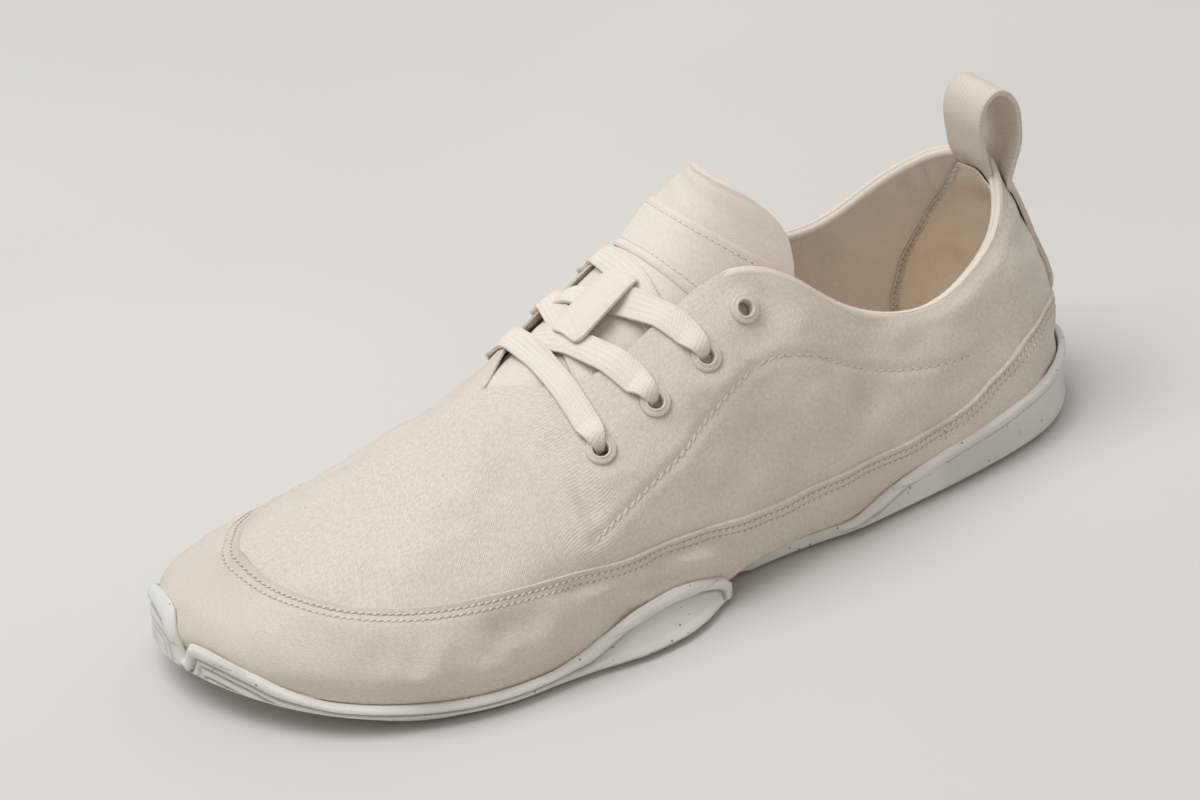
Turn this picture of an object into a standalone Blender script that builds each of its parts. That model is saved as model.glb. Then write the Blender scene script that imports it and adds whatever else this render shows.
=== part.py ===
"""Barefoot lace-up shoe for the left foot, in canvas on a thin rubber outsole.

Metres, +Z up. +X points to the toe, +Y to the outer (lateral) side, and the shoe stands on z = 0.
The last is drawn by a short table of sections around the foot. Upper, outsole rim, insole, tongue,
laces and pull loop are all worked out from that one surface.
"""
import math
from collections import namedtuple

import bmesh
import bpy
import numpy as np
from mathutils import Vector
from mathutils.bvhtree import BVHTree
from mathutils.geometry import delaunay_2d_cdt

# Driving dimensions of the finished shoe
LENGTH = 0.278
BALL_WIDTH = 0.100
HEEL_HEIGHT = 0.074

WALL = 0.0022
GAP = 0.0005
FEATHER_ROUND = 0.004
BAND_STEP = 0.0009

PLATE = 0.0045
LUG_DEPTH = 0.0010
EDGE_ROUND = 0.0012
RIM_THICKNESS = 0.0022
TOE_SPRING = 0.0095
TOE_SPRING_START = 0.72 * LENGTH
HEEL_SPRING = 0.0022
HEEL_SPRING_END = 0.09 * LENGTH

INSOLE_THICKNESS = 0.0035
TONGUE_THICKNESS = 0.003
LACE_WIDTH = 0.0078
LACE_THICKNESS = 0.0013
WEBBING_THICKNESS = 0.0015

MM = 0.001
SAMPLE_LENGTH = 278 * MM
SAMPLE_BALL = 100 * MM
SAMPLE_HEEL = 74 * MM
GRADE = (LENGTH / SAMPLE_LENGTH, BALL_WIDTH / SAMPLE_BALL, HEEL_HEIGHT / SAMPLE_HEEL)

# Sections of the last on the sample size, in millimetres: foot is the feather point, edge the
# point where the section ends at collar, throat or vamp ridge, arc the degrees of round that it
# turns through, full its superellipse power, bulge how far its side stands out, margin the cloth
# turned under, band the share of the section that the lower band covers. Each side has a row for
# every station from heel centre to toe tip.
Section = namedtuple("Section", "foot_x foot_y edge_x edge_y edge_z arc full bulge margin band")
LATERAL = [
    Section(4.5, 0, 18, 0, 74, 34, 2.0, 0.5, 11, 0.49),
    Section(7, 12, 20.5, 9.5, 69, 34, 2.0, 0.8, 11, 0.49),
    Section(14.5, 22.5, 28, 17.5, 60, 33, 2.0, 1.2, 11, 0.475),
    Section(31, 31, 42, 23.5, 53.5, 31, 2.0, 2.0, 11, 0.40),
    Section(60, 35.5, 61, 26.5, 50.5, 30, 2.0, 2.5, 11, 0.20),
    Section(88, 38, 84, 26.5, 59.5, 36, 2.0, 3.0, 11, 0.18),
    Section(112, 40.5, 101, 24, 74, 46, 2.0, 3.0, 11, 0.16),
    Section(131, 42.5, 118, 19.5, 79.5, 58, 2.0, 3.0, 11, 0.165),
    Section(151, 45, 138, 18, 72, 66, 2.0, 2.5, 11, 0.21),
    Section(171, 47.5, 163, 14.5, 61.5, 74, 2.0, 2.5, 11, 0.255),
    Section(190, 49, 181, -3.0, 59.0, 88, 2.0, 2.5, 11, 0.29),
    Section(212, 48.5, 200, -3.5, 51.5, 90, 2.0, 2.0, 11, 0.32),
    Section(232, 43.0, 216, -4.5, 46.2, 90, 2.0, 1.5, 11, 0.385),
    Section(250, 32.0, 230, -6.0, 41.8, 90, 2.0, 1.0, 11, 0.50),
    Section(262.5, 17.0, 240, -7.5, 38.0, 90, 2.0, 1.0, 11, 0.66),
    Section(270, 1, 246, -8.5, 35.6, 90, 2.0, 1.0, 11, 0.79),
    Section(272.5, -15, 248.5, -9.5, 34.6, 90, 2.0, 1.0, 11, 0.84),
]
MEDIAL = [
    LATERAL[0],
    Section(7, -12, 20.5, -9.5, 73.0, 34, 2.0, 0.8, 11, 0.49),
    Section(14.5, -23, 27.5, -17, 70, 33, 2.0, 1.2, 11, 0.475),
    Section(31, -30.5, 42, -22.5, 63.5, 32, 2.0, 2.0, 11, 0.40),
    Section(60, -30.5, 61, -24.5, 57, 32, 2.0, 3.0, 14, 0.22),
    Section(88, -27, 84, -24, 61.5, 36, 2.0, 6.0, 24, 0.20),
    Section(110, -24.5, 102, -22.5, 73, 44, 2.0, 9.0, 32, 0.19),
    Section(128, -24.5, 119, -20, 79, 54, 2.0, 9.5, 32, 0.19),
    Section(146, -27, 140, -17.5, 72, 64, 2.0, 7.0, 26, 0.22),
    Section(163, -33, 164, -14.5, 61.0, 74, 1.75, 4.5, 16, 0.26),
    Section(180, -41.5, 181, -3.0, 59.0, 88, 1.55, 2.0, 11, 0.30),
    Section(200, -47.0, 200, -3.5, 51.5, 90, 1.5, 1.0, 11, 0.33),
    Section(222, -48.5, 216, -4.5, 46.2, 90, 1.5, 0.5, 11, 0.40),
    Section(243, -46.5, 230, -6.0, 41.8, 90, 1.6, 0.5, 11, 0.52),
    Section(259, -40.5, 240, -7.5, 38.0, 90, 1.8, 0.5, 11, 0.66),
    Section(268.5, -29.5, 246, -8.5, 35.6, 90, 2.0, 0.5, 11, 0.78),
    LATERAL[16],
]
TOE = len(LATERAL) - 1
LOOP = 2 * TOE
THROAT = 10
FACING_BACK = 7

# Rubber around the foot, in millimetres: reach is how far the outsole stands out past the feather
# point (negative where it is cut away), rim how far it laps up over the cloth.
Rubber = namedtuple("Rubber", "at reach rim")
RUBBER_LATERAL = [
    Rubber(0.00, -7.5, 0.0),
    Rubber(0.26, -7.0, 0.0),
    Rubber(0.36, 2.2, 0.0),
    Rubber(0.50, 2.6, 9.0),
    Rubber(1.00, 2.8, 13.0),
    Rubber(2.00, 2.8, 12.5),
    Rubber(3.00, 2.8, 10.5),
    Rubber(4.00, 3.0, 8.0),
    Rubber(4.60, 2.4, 3.5),
    Rubber(5.20, 1.0, 0.0),
    Rubber(6.00, -2.0, 0.0),
    Rubber(6.85, -3.5, 0.0),
    Rubber(7.48, 1.6, 1.0),
    Rubber(7.62, 3.0, 5.0),
    Rubber(8.00, 6.0, 8.5),
    Rubber(8.50, 8.0, 10.5),
    Rubber(9.00, 7.6, 10.0),
    Rubber(9.50, 5.6, 6.5),
    Rubber(10.0, 3.4, 2.6),
    Rubber(10.5, 2.4, 0.6),
    Rubber(11.5, 2.4, 0.6),
    Rubber(13.0, 2.4, 0.9),
    Rubber(13.6, 2.6, 2.0),
    Rubber(14.3, 2.8, 5.5),
    Rubber(15.0, 2.8, 7.0),
    Rubber(15.50, 2.8, 7.0),
    Rubber(15.58, 2.8, 5.5),
    Rubber(15.66, 2.6, 0.2),
    Rubber(15.78, 2.6, 0.2),
    Rubber(15.86, 2.8, 9.0),
    Rubber(16.0, 2.8, 12.5),
]
RUBBER_MEDIAL = [
    Rubber(0.00, -7.5, 0.0),
    Rubber(0.26, -7.0, 0.0),
    Rubber(0.36, 2.2, 0.0),
    Rubber(0.50, 2.6, 9.0),
    Rubber(1.00, 2.8, 12.5),
    Rubber(2.00, 2.8, 11.5),
    Rubber(3.00, 2.8, 9.5),
    Rubber(4.00, 2.2, 4.0),
    Rubber(4.40, 0.0, 0.0),
    Rubber(4.80, -4.5, 0.0),
    Rubber(5.40, -13.0, 0.0),
    Rubber(5.95, -19.5, 0.0),
    Rubber(6.60, -22.5, 0.0),
    Rubber(7.45, -20.5, 0.0),
    Rubber(8.00, -17.0, 0.0),
    Rubber(8.40, -11.0, 0.0),
    Rubber(8.80, -3.5, 0.0),
    Rubber(9.20, 1.0, 0.0),
    Rubber(9.70, 2.5, 0.6),
    Rubber(11.0, 2.5, 1.0),
    Rubber(12.5, 2.5, 1.4),
    Rubber(14.0, 2.6, 3.5),
    Rubber(15.0, 2.8, 10.0),
    Rubber(15.5, 2.8, 13.5),
    Rubber(16.0, 2.8, 12.5),
]

# Side of the outsole from its lower edge to the top of its rim: fraction of that height, and how
# far a bead stands out or a groove sinks in, in millimetres, where the rim is high
SideRow = namedtuple("SideRow", "fraction depth")
SIDE = [
    SideRow(0.00, 0.0),
    SideRow(0.28, 0.0),
    SideRow(0.36, -0.7),
    SideRow(0.44, 0.0),
    SideRow(0.60, 0.0),
    SideRow(0.68, -0.7),
    SideRow(0.76, 0.3),
    SideRow(0.90, 0.5),
    SideRow(1.00, 0.0),
]
RIM_INSIDE = (0.99, 0.75, 0.5, 0.0)
RIM_START = 0.0008
RIBBED_RIM = 0.003

# Slot of the outsole, in millimetres: corners of its open path from the mouth behind, along the
# slot into the slanted hole and back to the mouth in front, each with its rounding
SlotCorner = namedtuple("SlotCorner", "x y rounding")
SLOT = [
    SlotCorner(166, 25.2, 0.5),
    SlotCorner(204.5, 12.3, 2.0),
    SlotCorner(217.7, -5.6, 2.5),
    SlotCorner(226.9, 0.4, 2.5),
    SlotCorner(214.3, 19.6, 2.5),
    SlotCorner(207.6, 15.1, 1.5),
    SlotCorner(176, 24.9, 0.5),
    SlotCorner(145.5, 34.6, 5.0),
]
SLOT_REAR_MOUTH = 6.85
SLOT_FRONT_MOUTH = 7.48
NOTCH_STATIONS = (0.14, 0.24, 0.30, 0.36, 0.50, 0.66)
TOE_NOTCH_STATIONS = (15.50, 15.58, 15.66, 15.72, 15.78, 15.86)
WING_STATIONS = (7.54, 7.62, 7.75)
STATION_CLEAR = 0.11

# Lugs on the underside, in millimetres: long rounded pads, square is their superellipse power
Lug = namedtuple("Lug", "name x y length width turn square")
LUGS = [
    Lug("heel_inner", 50, -9.5, 72, 31, 9, 1.8),
    Lug("heel_outer", 54, 25, 66, 13, 3, 2.6),
    Lug("midfoot_bar", 124, 18, 52, 9, -38, 3.0),
    Lug("midfoot_pad", 156, 16.5, 40, 9, -18, 2.2),
    Lug("ball_inner", 188, -16, 58, 40, -28, 2.4),
    Lug("ball_outer", 181, 36, 54, 18, -15, 2.0),
    Lug("toe_outer", 234, 27, 36, 17, -38, 1.9),
    Lug("toe_inner", 236, -25, 30, 24, 60, 1.9),
]
LUG_POINTS = 18
FILL_STEP = 0.016

# Tongue on the sample size, in millimetres: its centre line from the vamp to its tip, half width,
# and curl, which is how far its section falls at ten millimetres from the centre line
TongueRow = namedtuple("TongueRow", "x z half curl")
TONGUE = [
    TongueRow(196, 46.6, 10, 2.4),
    TongueRow(186, 50.6, 13, 2.6),
    TongueRow(175, 55.4, 16, 2.6),
    TongueRow(163, 61.0, 18, 2.5),
    TongueRow(150, 67.6, 20, 2.5),
    TongueRow(138, 74.5, 20, 2.7),
    TongueRow(128, 81.0, 18, 3.2),
    TongueRow(121, 87.6, 18.2, 3.8),
    TongueRow(116, 93.6, 21.5, 4.2),
    TongueRow(113, 98.0, 16.5, 4.4),
    TongueRow(112, 100.2, 6, 4.4),
]
TONGUE_ACROSS = 8
TONGUE_ALONG = 18
PATCH_FROM = 5.8
PATCH_TO = 7.0
PATCH_SHARE = 0.9
PATCH_THICKNESS = 0.0008
KEEPER_FROM = (137, 2)
KEEPER_TO = (153, 3)
KEEPER_WIDTH = 0.011
KEEPER_THICKNESS = 0.0012

# Eyelets: station and share of the section on both sides, the lowest first
Eyelet = namedtuple("Eyelet", "number at share")
EYELETS = [
    Eyelet(1, 9.05, 0.69),
    Eyelet(2, 8.28, 0.735),
    Eyelet(3, 7.50, 0.74),
    Eyelet(4, 6.85, 0.865),
]
EYELET_FLANGE = 0.0041
EYELET_BARREL = 0.0026
EYELET_BORE = 0.0017
EYELET_HOLE = 0.0030
EYELET_LIFT = 0.0009
EYELET_HEIGHT = 0.0016
EYELET_SIDES = 12

# Lace: each strand runs from an eyelet to the other side, where it ends at an eyelet or slips
# under the facing at a station. A crossing joins the two strands that share its name.
Strand = namedtuple("Strand", "piece side eyelet ends_at")
STRANDS = [
    Strand("lace_cross_1", -1, 2, 8.62),
    Strand("lace_cross_1", 1, 2, 8.62),
    Strand("lace_cross_2", -1, 3, 7.98),
    Strand("lace_cross_2", 1, 3, 7.98),
    Strand("lace_bar", 1, 1, None),
]
LACE_SAMPLES = 40
LACE_STEPS = 12
LACE_CLEARANCE = 0.0010
LACE_BED = 0.0004

# Pull loop above the collar on the centre plane, in millimetres, from the outer to the inner side
LoopRow = namedtuple("LoopRow", "x z")
PULL_LOOP = [
    LoopRow(12.6, 76.0),
    LoopRow(12.0, 83.0),
    LoopRow(14.0, 90.0),
    LoopRow(18.0, 94.2),
    LoopRow(22.5, 95.2),
    LoopRow(26.8, 92.4),
    LoopRow(28.8, 86.5),
    LoopRow(28.6, 79.5),
    LoopRow(26.0, 72.5),
]
LOOP_HALF_SECTIONS = 0.68
LOOP_ACROSS = 4
STRAP_SHARES = (0.52, 0.60, 0.68, 0.76, 0.84, 0.91)
STRAP_INNER_SHARES = (0.84, 0.72, 0.62)

COLUMN_STEP = 0.4
LOWER_ROWS = 3
UPPER_ROWS = 6


def clear_scene():
    for item in list(bpy.data.objects):
        bpy.data.objects.remove(item)


def new_collection(name):
    collection = bpy.data.collections.new(name)
    bpy.context.scene.collection.children.link(collection)
    return collection


def new_material(name, colour, roughness, metallic=0.0):
    material = bpy.data.materials.new(name)
    material.use_nodes = True
    shader = material.node_tree.nodes["Principled BSDF"]
    shader.inputs["Base Color"].default_value = (*colour, 1.0)
    shader.inputs["Roughness"].default_value = roughness
    shader.inputs["Metallic"].default_value = metallic
    return material


def closed_spline(values):
    """Cubic curve through the rows of a closed loop, one unit of its argument to a row."""
    values = np.asarray(values, float)
    count = len(values)
    system = np.zeros((count, count))
    for row in range(count):
        system[row, row - 1] = 1.0
        system[row, row] = 4.0
        system[row, (row + 1) % count] = 1.0
    second = 6.0 * (np.roll(values, -1, 0) - 2.0 * values + np.roll(values, 1, 0))
    bend = np.linalg.solve(system, second)

    def at(argument):
        whole = int(math.floor(argument))
        part = argument - whole
        first = whole % count
        last = (whole + 1) % count
        ease_first = ((1 - part) ** 3 - (1 - part)) / 6.0
        ease_last = (part ** 3 - part) / 6.0
        straight = values[first] * (1 - part) + values[last] * part
        return straight + bend[first] * ease_first + bend[last] * ease_last

    return at


def eased_curve(arguments, values):
    """Curve through rows that never overshoots them (slopes limited to three times a chord)."""
    arguments = np.asarray(arguments, float)
    values = np.asarray(values, float)
    steps = np.diff(arguments)
    slopes = np.diff(values) / steps
    tangents = np.zeros(len(values))
    for row in range(1, len(values) - 1):
        before = slopes[row - 1]
        after = slopes[row]
        if before * after > 0:
            tangents[row] = 2 * before * after / (before + after)

    def at(argument):
        argument = min(max(argument, arguments[0]), arguments[-1])
        row = min(int(np.searchsorted(arguments, argument, "right")) - 1, len(steps) - 1)
        part = (argument - arguments[row]) / steps[row]
        start = values[row] * (1 + 2 * part) * (1 - part) ** 2
        start += tangents[row] * steps[row] * part * (1 - part) ** 2
        end = values[row + 1] * part ** 2 * (3 - 2 * part)
        end += tangents[row + 1] * steps[row] * part ** 2 * (part - 1)
        return start + end

    return at


def graded(section):
    """One row of the last in metres, graded from the sample size to the named sizes."""
    along, across, up = GRADE
    return (
        section.foot_x * MM * along,
        section.foot_y * MM * across,
        section.edge_x * MM * along,
        section.edge_y * MM * across,
        section.edge_z * MM * up,
        math.radians(section.arc),
        section.full,
        section.bulge * MM,
        section.margin * MM,
        section.band,
    )


LAST_ROWS = [graded(row) for row in LATERAL] + [graded(row) for row in reversed(MEDIAL[1:TOE])]
LAST = closed_spline(LAST_ROWS)

RIDGE_ROWS = LAST_ROWS[THROAT:TOE + 1]
RIDGE_X = np.array([row[2] for row in RIDGE_ROWS])
RIDGE_HEIGHT = np.polyfit(RIDGE_X, [row[4] for row in RIDGE_ROWS], 2)
RIDGE_SIDE = np.polyfit(RIDGE_X, [row[3] for row in RIDGE_ROWS], 2)


def spring(x):
    """How far the underside lifts off the floor at the toe and at the back of the heel."""
    toe = max(0.0, (x - TOE_SPRING_START) / (LENGTH - TOE_SPRING_START))
    heel = max(0.0, (HEEL_SPRING_END - x) / HEEL_SPRING_END)
    return TOE_SPRING * toe ** 2 + HEEL_SPRING * heel ** 2


def station(around):
    """Section number counted from the heel, whichever side the place around the foot is on."""
    around = around % LOOP
    return min(around, LOOP - around)


def feather(around):
    """Feather point and outward direction in plan at a place around the foot."""
    row = LAST(around)
    ahead = LAST(around + 0.05)
    behind = LAST(around - 0.05)
    along = np.array([ahead[0] - behind[0], ahead[1] - behind[1]])
    along /= np.linalg.norm(along)
    return np.array([row[0], row[1]]), np.array([-along[1], along[0]])


def smooth_step(value):
    value = min(max(value, 0.0), 1.0)
    return value * value * (3 - 2 * value)


def section_edge(around):
    """Top point of a section. In front of the throat both sides share the vamp ridge."""
    row = LAST(around)
    if station(around) < THROAT:
        return row[2], row[3], row[4]
    mirror = LAST(-around)
    x = (row[2] + mirror[2]) / 2
    return x, float(np.polyval(RIDGE_SIDE, x)), float(np.polyval(RIDGE_HEIGHT, x))


def last_point(around, share):
    """Point of the last's outer surface, from the feather round (0) to the section's edge (1)."""
    row = LAST(around)
    foot, outward = feather(around)
    edge_x, edge_y, edge_z = section_edge(around)
    arc = min(row[5], math.pi / 2)
    turn = arc * share
    power = 2 / row[6]
    inward = (1 - abs(math.cos(turn)) ** power) / (1 - abs(math.cos(arc)) ** power)
    rise = math.copysign(abs(math.sin(turn)) ** power, turn) / math.sin(arc) ** power
    bulge = row[7] * math.sin(math.pi * min(max(share, 0.0), 1.0) ** 0.8)
    x = foot[0] + (edge_x - foot[0]) * inward + outward[0] * bulge
    y = foot[1] + (edge_y - foot[1]) * inward + outward[1] * bulge
    base = PLATE + GAP + FEATHER_ROUND + spring(foot[0])
    follow = smooth_step((station(around) - FACING_BACK) / (THROAT - FACING_BACK))
    fall = float(np.polyval(RIDGE_HEIGHT, x) - np.polyval(RIDGE_HEIGHT, edge_x))
    z = base + (edge_z - base + follow * fall) * rise
    return np.array([x, y, z])


def last_normal(around, share):
    """Outward direction of the last's surface."""
    ahead = last_point(around + 0.02, share) - last_point(around - 0.02, share)
    up = last_point(around, share + 0.01) - last_point(around, share - 0.01)
    normal = np.cross(up, ahead)
    return normal / np.linalg.norm(normal)


def turned_under(around, inset, lift):
    """Point of the cloth that is turned under the foot, inset from the feather point."""
    foot, outward = feather(around)
    place = foot - outward * inset
    return np.array([place[0], place[1], PLATE + GAP + spring(place[0]) + lift])


def wall_curve(around):
    """Points beside the outside of the cloth at a place around the foot, by height and distance."""
    foot, outward = feather(around)
    shares = np.linspace(0.0, 0.9, 46)
    heights = [last_point(around, share)[2] for share in shares]

    def at(height, distance):
        if height <= heights[0]:
            place = foot + outward * distance
            return np.array([place[0], place[1], height])
        share = float(np.interp(height, heights, shares))
        return last_point(around, share) + last_normal(around, share) * distance

    return at


def add_object(name, mesh, material, collection, parent):
    item = bpy.data.objects.new(name, mesh)
    item.data.materials.append(material)
    collection.objects.link(item)
    item.parent = parent
    mesh.shade_smooth()
    mesh.set_sharp_from_angle(angle=math.radians(35))
    return item


def mesh_from_bmesh(name, work):
    bmesh.ops.recalc_face_normals(work, faces=work.faces)
    mesh = bpy.data.meshes.new(name)
    work.to_mesh(mesh)
    work.free()
    return mesh


def shoe_columns():
    """Places around the foot where the upper and the rim of the outsole have their edges."""
    return [COLUMN_STEP * number for number in range(round(LOOP / COLUMN_STEP))]


def upper_column(around):
    """Points of one section of the upper's outer sheet, and which of them lie on the band."""
    row = LAST(around)
    margin = row[8]
    band = row[9]
    points = [
        turned_under(around, margin, 0.0),
        turned_under(around, FEATHER_ROUND, 0.0),
        turned_under(around, 0.3 * FEATHER_ROUND, 0.3 * FEATHER_ROUND),
    ]
    for number in range(LOWER_ROWS + 1):
        points.append(last_point(around, band * number / LOWER_ROWS))
    banded = len(points)
    step_share = band + 0.014
    for number in range(UPPER_ROWS + 1):
        points.append(last_point(around, step_share + (1 - step_share) * number / UPPER_ROWS))
    return points, banded


def build_upper_mesh():
    """Hollow shell: an outer sheet with the band raised on it, an inner sheet and their rims."""
    columns = shoe_columns()
    count = len(columns)
    sheet = bmesh.new()
    grid = []
    for number, around in enumerate(columns):
        points, banded = upper_column(around)
        twin = count - number
        shares_ridge = station(around) >= THROAT and around > TOE
        column = [sheet.verts.new(point) for point in points[:-1]]
        column.append(grid[twin][-1] if shares_ridge else sheet.verts.new(points[-1]))
        grid.append(column)
    for number in range(count):
        here = grid[number]
        there = grid[(number + 1) % count]
        for row in range(len(here) - 1):
            corners = [here[row], here[row + 1], there[row + 1], there[row]]
            corners = list(dict.fromkeys(corners))
            sheet.faces.new(corners)
    sheet.normal_update()
    outer = {}
    inner = {}
    shell = bmesh.new()
    for column in grid:
        for row, vert in enumerate(column):
            if vert in outer:
                continue
            step = BAND_STEP if 2 < row < banded else 0.0
            outer[vert] = shell.verts.new(vert.co + vert.normal * step)
            inner[vert] = shell.verts.new(vert.co - vert.normal * WALL)
    for face in sheet.faces:
        shell.faces.new([outer[vert] for vert in face.verts])
        shell.faces.new([inner[vert] for vert in reversed(face.verts)])
    for edge in sheet.edges:
        if len(edge.link_faces) == 1:
            first, last = edge.verts
            shell.faces.new([outer[first], outer[last], inner[last], inner[first]])
    sheet.free()
    return mesh_from_bmesh("upper", shell)


def around_curve(lateral, medial, column):
    """Value of one column of the rubber tables at a place around the foot."""
    curves = []
    for rows in (lateral, medial):
        curves.append(eased_curve([row.at for row in rows], [getattr(row, column) for row in rows]))

    def at(around):
        around = around % LOOP
        if around <= TOE:
            return curves[0](around) * MM
        return curves[1](LOOP - around) * MM

    return at


REACH = around_curve(RUBBER_LATERAL, RUBBER_MEDIAL, "reach")
RIM = around_curve(RUBBER_LATERAL, RUBBER_MEDIAL, "rim")


def sample_point(x, y):
    """Plan point of the sample size in metres, graded to the named sizes."""
    return np.array([x * MM * GRADE[0], y * MM * GRADE[1]])


def outsole_stations():
    """Places around the foot for the outsole: those of its notches, and the upper's columns that
    keep clear of them."""
    own = [SLOT_REAR_MOUTH, SLOT_FRONT_MOUTH, *TOE_NOTCH_STATIONS, *WING_STATIONS]
    for place in NOTCH_STATIONS:
        own += [place, LOOP - place]
    places = list(own)
    for place in shoe_columns():
        if SLOT_REAR_MOUTH < place < SLOT_FRONT_MOUTH:
            continue
        if min(abs(place - other) for other in own) > STATION_CLEAR:
            places.append(place)
    return sorted(places)


def outline_point(around):
    foot, outward = feather(around)
    return foot + outward * REACH(around)


def slot_path():
    """Plan points along the slot with its corners rounded."""
    corners = [outline_point(SLOT_REAR_MOUTH)]
    corners += [sample_point(row.x, row.y) for row in SLOT]
    corners.append(outline_point(SLOT_FRONT_MOUTH))
    points = []
    for number, row in enumerate(SLOT, 1):
        here = corners[number]
        before = corners[number - 1] - here
        after = corners[number + 1] - here
        enter = here + before / np.linalg.norm(before) * row.rounding * MM
        leave = here + after / np.linalg.norm(after) * row.rounding * MM
        if row.rounding < 1:
            points.append(here)
        else:
            points += [enter, (enter + 2 * here + leave) / 4, leave]
    return points


def outsole_outline():
    """Outline of the outsole in plan: each point with its place around the foot, or None in the slot."""
    outline = []
    for around in outsole_stations():
        outline.append((outline_point(around), around))
        if around == SLOT_REAR_MOUTH:
            outline += [(point, None) for point in slot_path()]
    return outline


def inward_directions(points):
    """Direction into the rubber at each point of its outline."""
    directions = []
    count = len(points)
    for number in range(count):
        normals = []
        for first, last in ((number - 1, number), (number, (number + 1) % count)):
            along = points[last] - points[first]
            along = along / np.linalg.norm(along)
            normals.append(np.array([along[1], -along[0]]))
        middle = normals[0] + normals[1]
        middle /= np.linalg.norm(middle)
        directions.append(middle / max(0.6, float(np.dot(middle, normals[0]))))
    return directions


def outsole_column(point, inward, around):
    """Points of the outsole's edge from its underside over the rim to the top of the plate."""
    low = LUG_DEPTH + EDGE_ROUND
    plain = [(EDGE_ROUND, LUG_DEPTH)]
    plain += [(0.0, low + (PLATE - low) * row.fraction) for row in SIDE]
    plain += [(0.5 * EDGE_ROUND * (1 - share), PLATE) for share in RIM_INSIDE]
    places = []
    for inset, height in plain:
        place = point + inward * inset
        places.append(np.array([place[0], place[1], height + spring(place[0])]))
    if around is None:
        return places
    rim = RIM(around)
    lapped = smooth_step(rim / RIM_START)
    if lapped == 0.0:
        return places
    foot, outward = feather(around)
    reach = REACH(around)
    lift = spring(foot[0])
    top = PLATE + rim
    ribbed = smooth_step((rim - RIBBED_RIM) / RIBBED_RIM)
    clear = BAND_STEP + 1.4 * GAP
    flare = reach - clear - RIM_THICKNESS
    wall = wall_curve(around)
    edge = foot + outward * (reach - EDGE_ROUND)
    shape = [np.array([edge[0], edge[1], LUG_DEPTH + lift])]
    for row in SIDE:
        height = low + (top - low) * row.fraction + lift
        distance = clear + RIM_THICKNESS + row.depth * MM * ribbed
        place = wall(height, distance)
        place[:2] += outward * flare * (1 - row.fraction)
        shape.append(place)
    for share in RIM_INSIDE:
        shape.append(wall(PLATE + rim * share + lift, clear))
    return [flat * (1 - lapped) + risen * lapped for flat, risen in zip(places, shape)]


def inside(point, polygon):
    """Whether a plan point lies inside a closed outline."""
    within = False
    previous = polygon[-1]
    for corner in polygon:
        if (corner[1] > point[1]) != (previous[1] > point[1]):
            cut = (previous[0] - corner[0]) * (point[1] - corner[1]) / (previous[1] - corner[1])
            if point[0] < corner[0] + cut:
                within = not within
        previous = corner
    return within


def distance_to(point, polygon):
    """Shortest distance from a plan point to a closed outline."""
    best = 1.0
    for number in range(len(polygon)):
        first = polygon[number - 1]
        along = polygon[number] - first
        share = float(np.dot(point - first, along) / np.dot(along, along))
        best = min(best, float(np.linalg.norm(point - first - along * min(max(share, 0.0), 1.0))))
    return best


def lug_outline(lug):
    """Superellipse of one lug in plan."""
    turn = math.radians(lug.turn)
    centre = sample_point(lug.x, lug.y)
    power = 2 / lug.square
    outline = []
    for number in range(LUG_POINTS):
        angle = math.tau * number / LUG_POINTS
        along = math.copysign(abs(math.cos(angle)) ** power, math.cos(angle)) * lug.length / 2 * MM
        across = math.copysign(abs(math.sin(angle)) ** power, math.sin(angle)) * lug.width / 2 * MM
        outline.append(centre + np.array([
            along * math.cos(turn) - across * math.sin(turn),
            along * math.sin(turn) + across * math.cos(turn),
        ]))
    return outline


def fill_sheet(work, ring, height, loops):
    """Fill a ring of the mesh with triangles at a height over the spring, and return those that
    lie in each of the loops."""
    border = [np.array([vert.co.x, vert.co.y]) for vert in ring]
    points = list(border)
    edges = [(number, (number + 1) % len(ring)) for number in range(len(ring))]
    for loop in loops:
        first = len(points)
        points += loop
        edges += [(first + n, first + (n + 1) % len(loop)) for n in range(len(loop))]
    low = np.min(border, axis=0)
    high = np.max(border, axis=0)
    for x in np.arange(low[0], high[0], FILL_STEP):
        for y in np.arange(low[1], high[1], FILL_STEP):
            place = np.array([x, y])
            if not inside(place, border) or distance_to(place, border) < 0.4 * FILL_STEP:
                continue
            if all(distance_to(place, loop) > 0.3 * FILL_STEP for loop in loops):
                points.append(place)
    filled = delaunay_2d_cdt([Vector(point) for point in points], edges, [], 0, 1e-7)
    verts = []
    for place, sources in zip(filled[0], filled[3]):
        known = [source for source in sources if source < len(ring)]
        if known:
            verts.append(ring[known[0]])
        else:
            verts.append(work.verts.new((place.x, place.y, height + spring(place.x))))
    found = [[] for loop in loops]
    for corners in filled[2]:
        middle = np.mean([np.array(filled[0][corner]) for corner in corners], axis=0)
        if not inside(middle, border):
            continue
        face = work.faces.new([verts[corner] for corner in corners])
        for number, loop in enumerate(loops):
            if inside(middle, loop):
                found[number].append(face)
    return found


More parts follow.
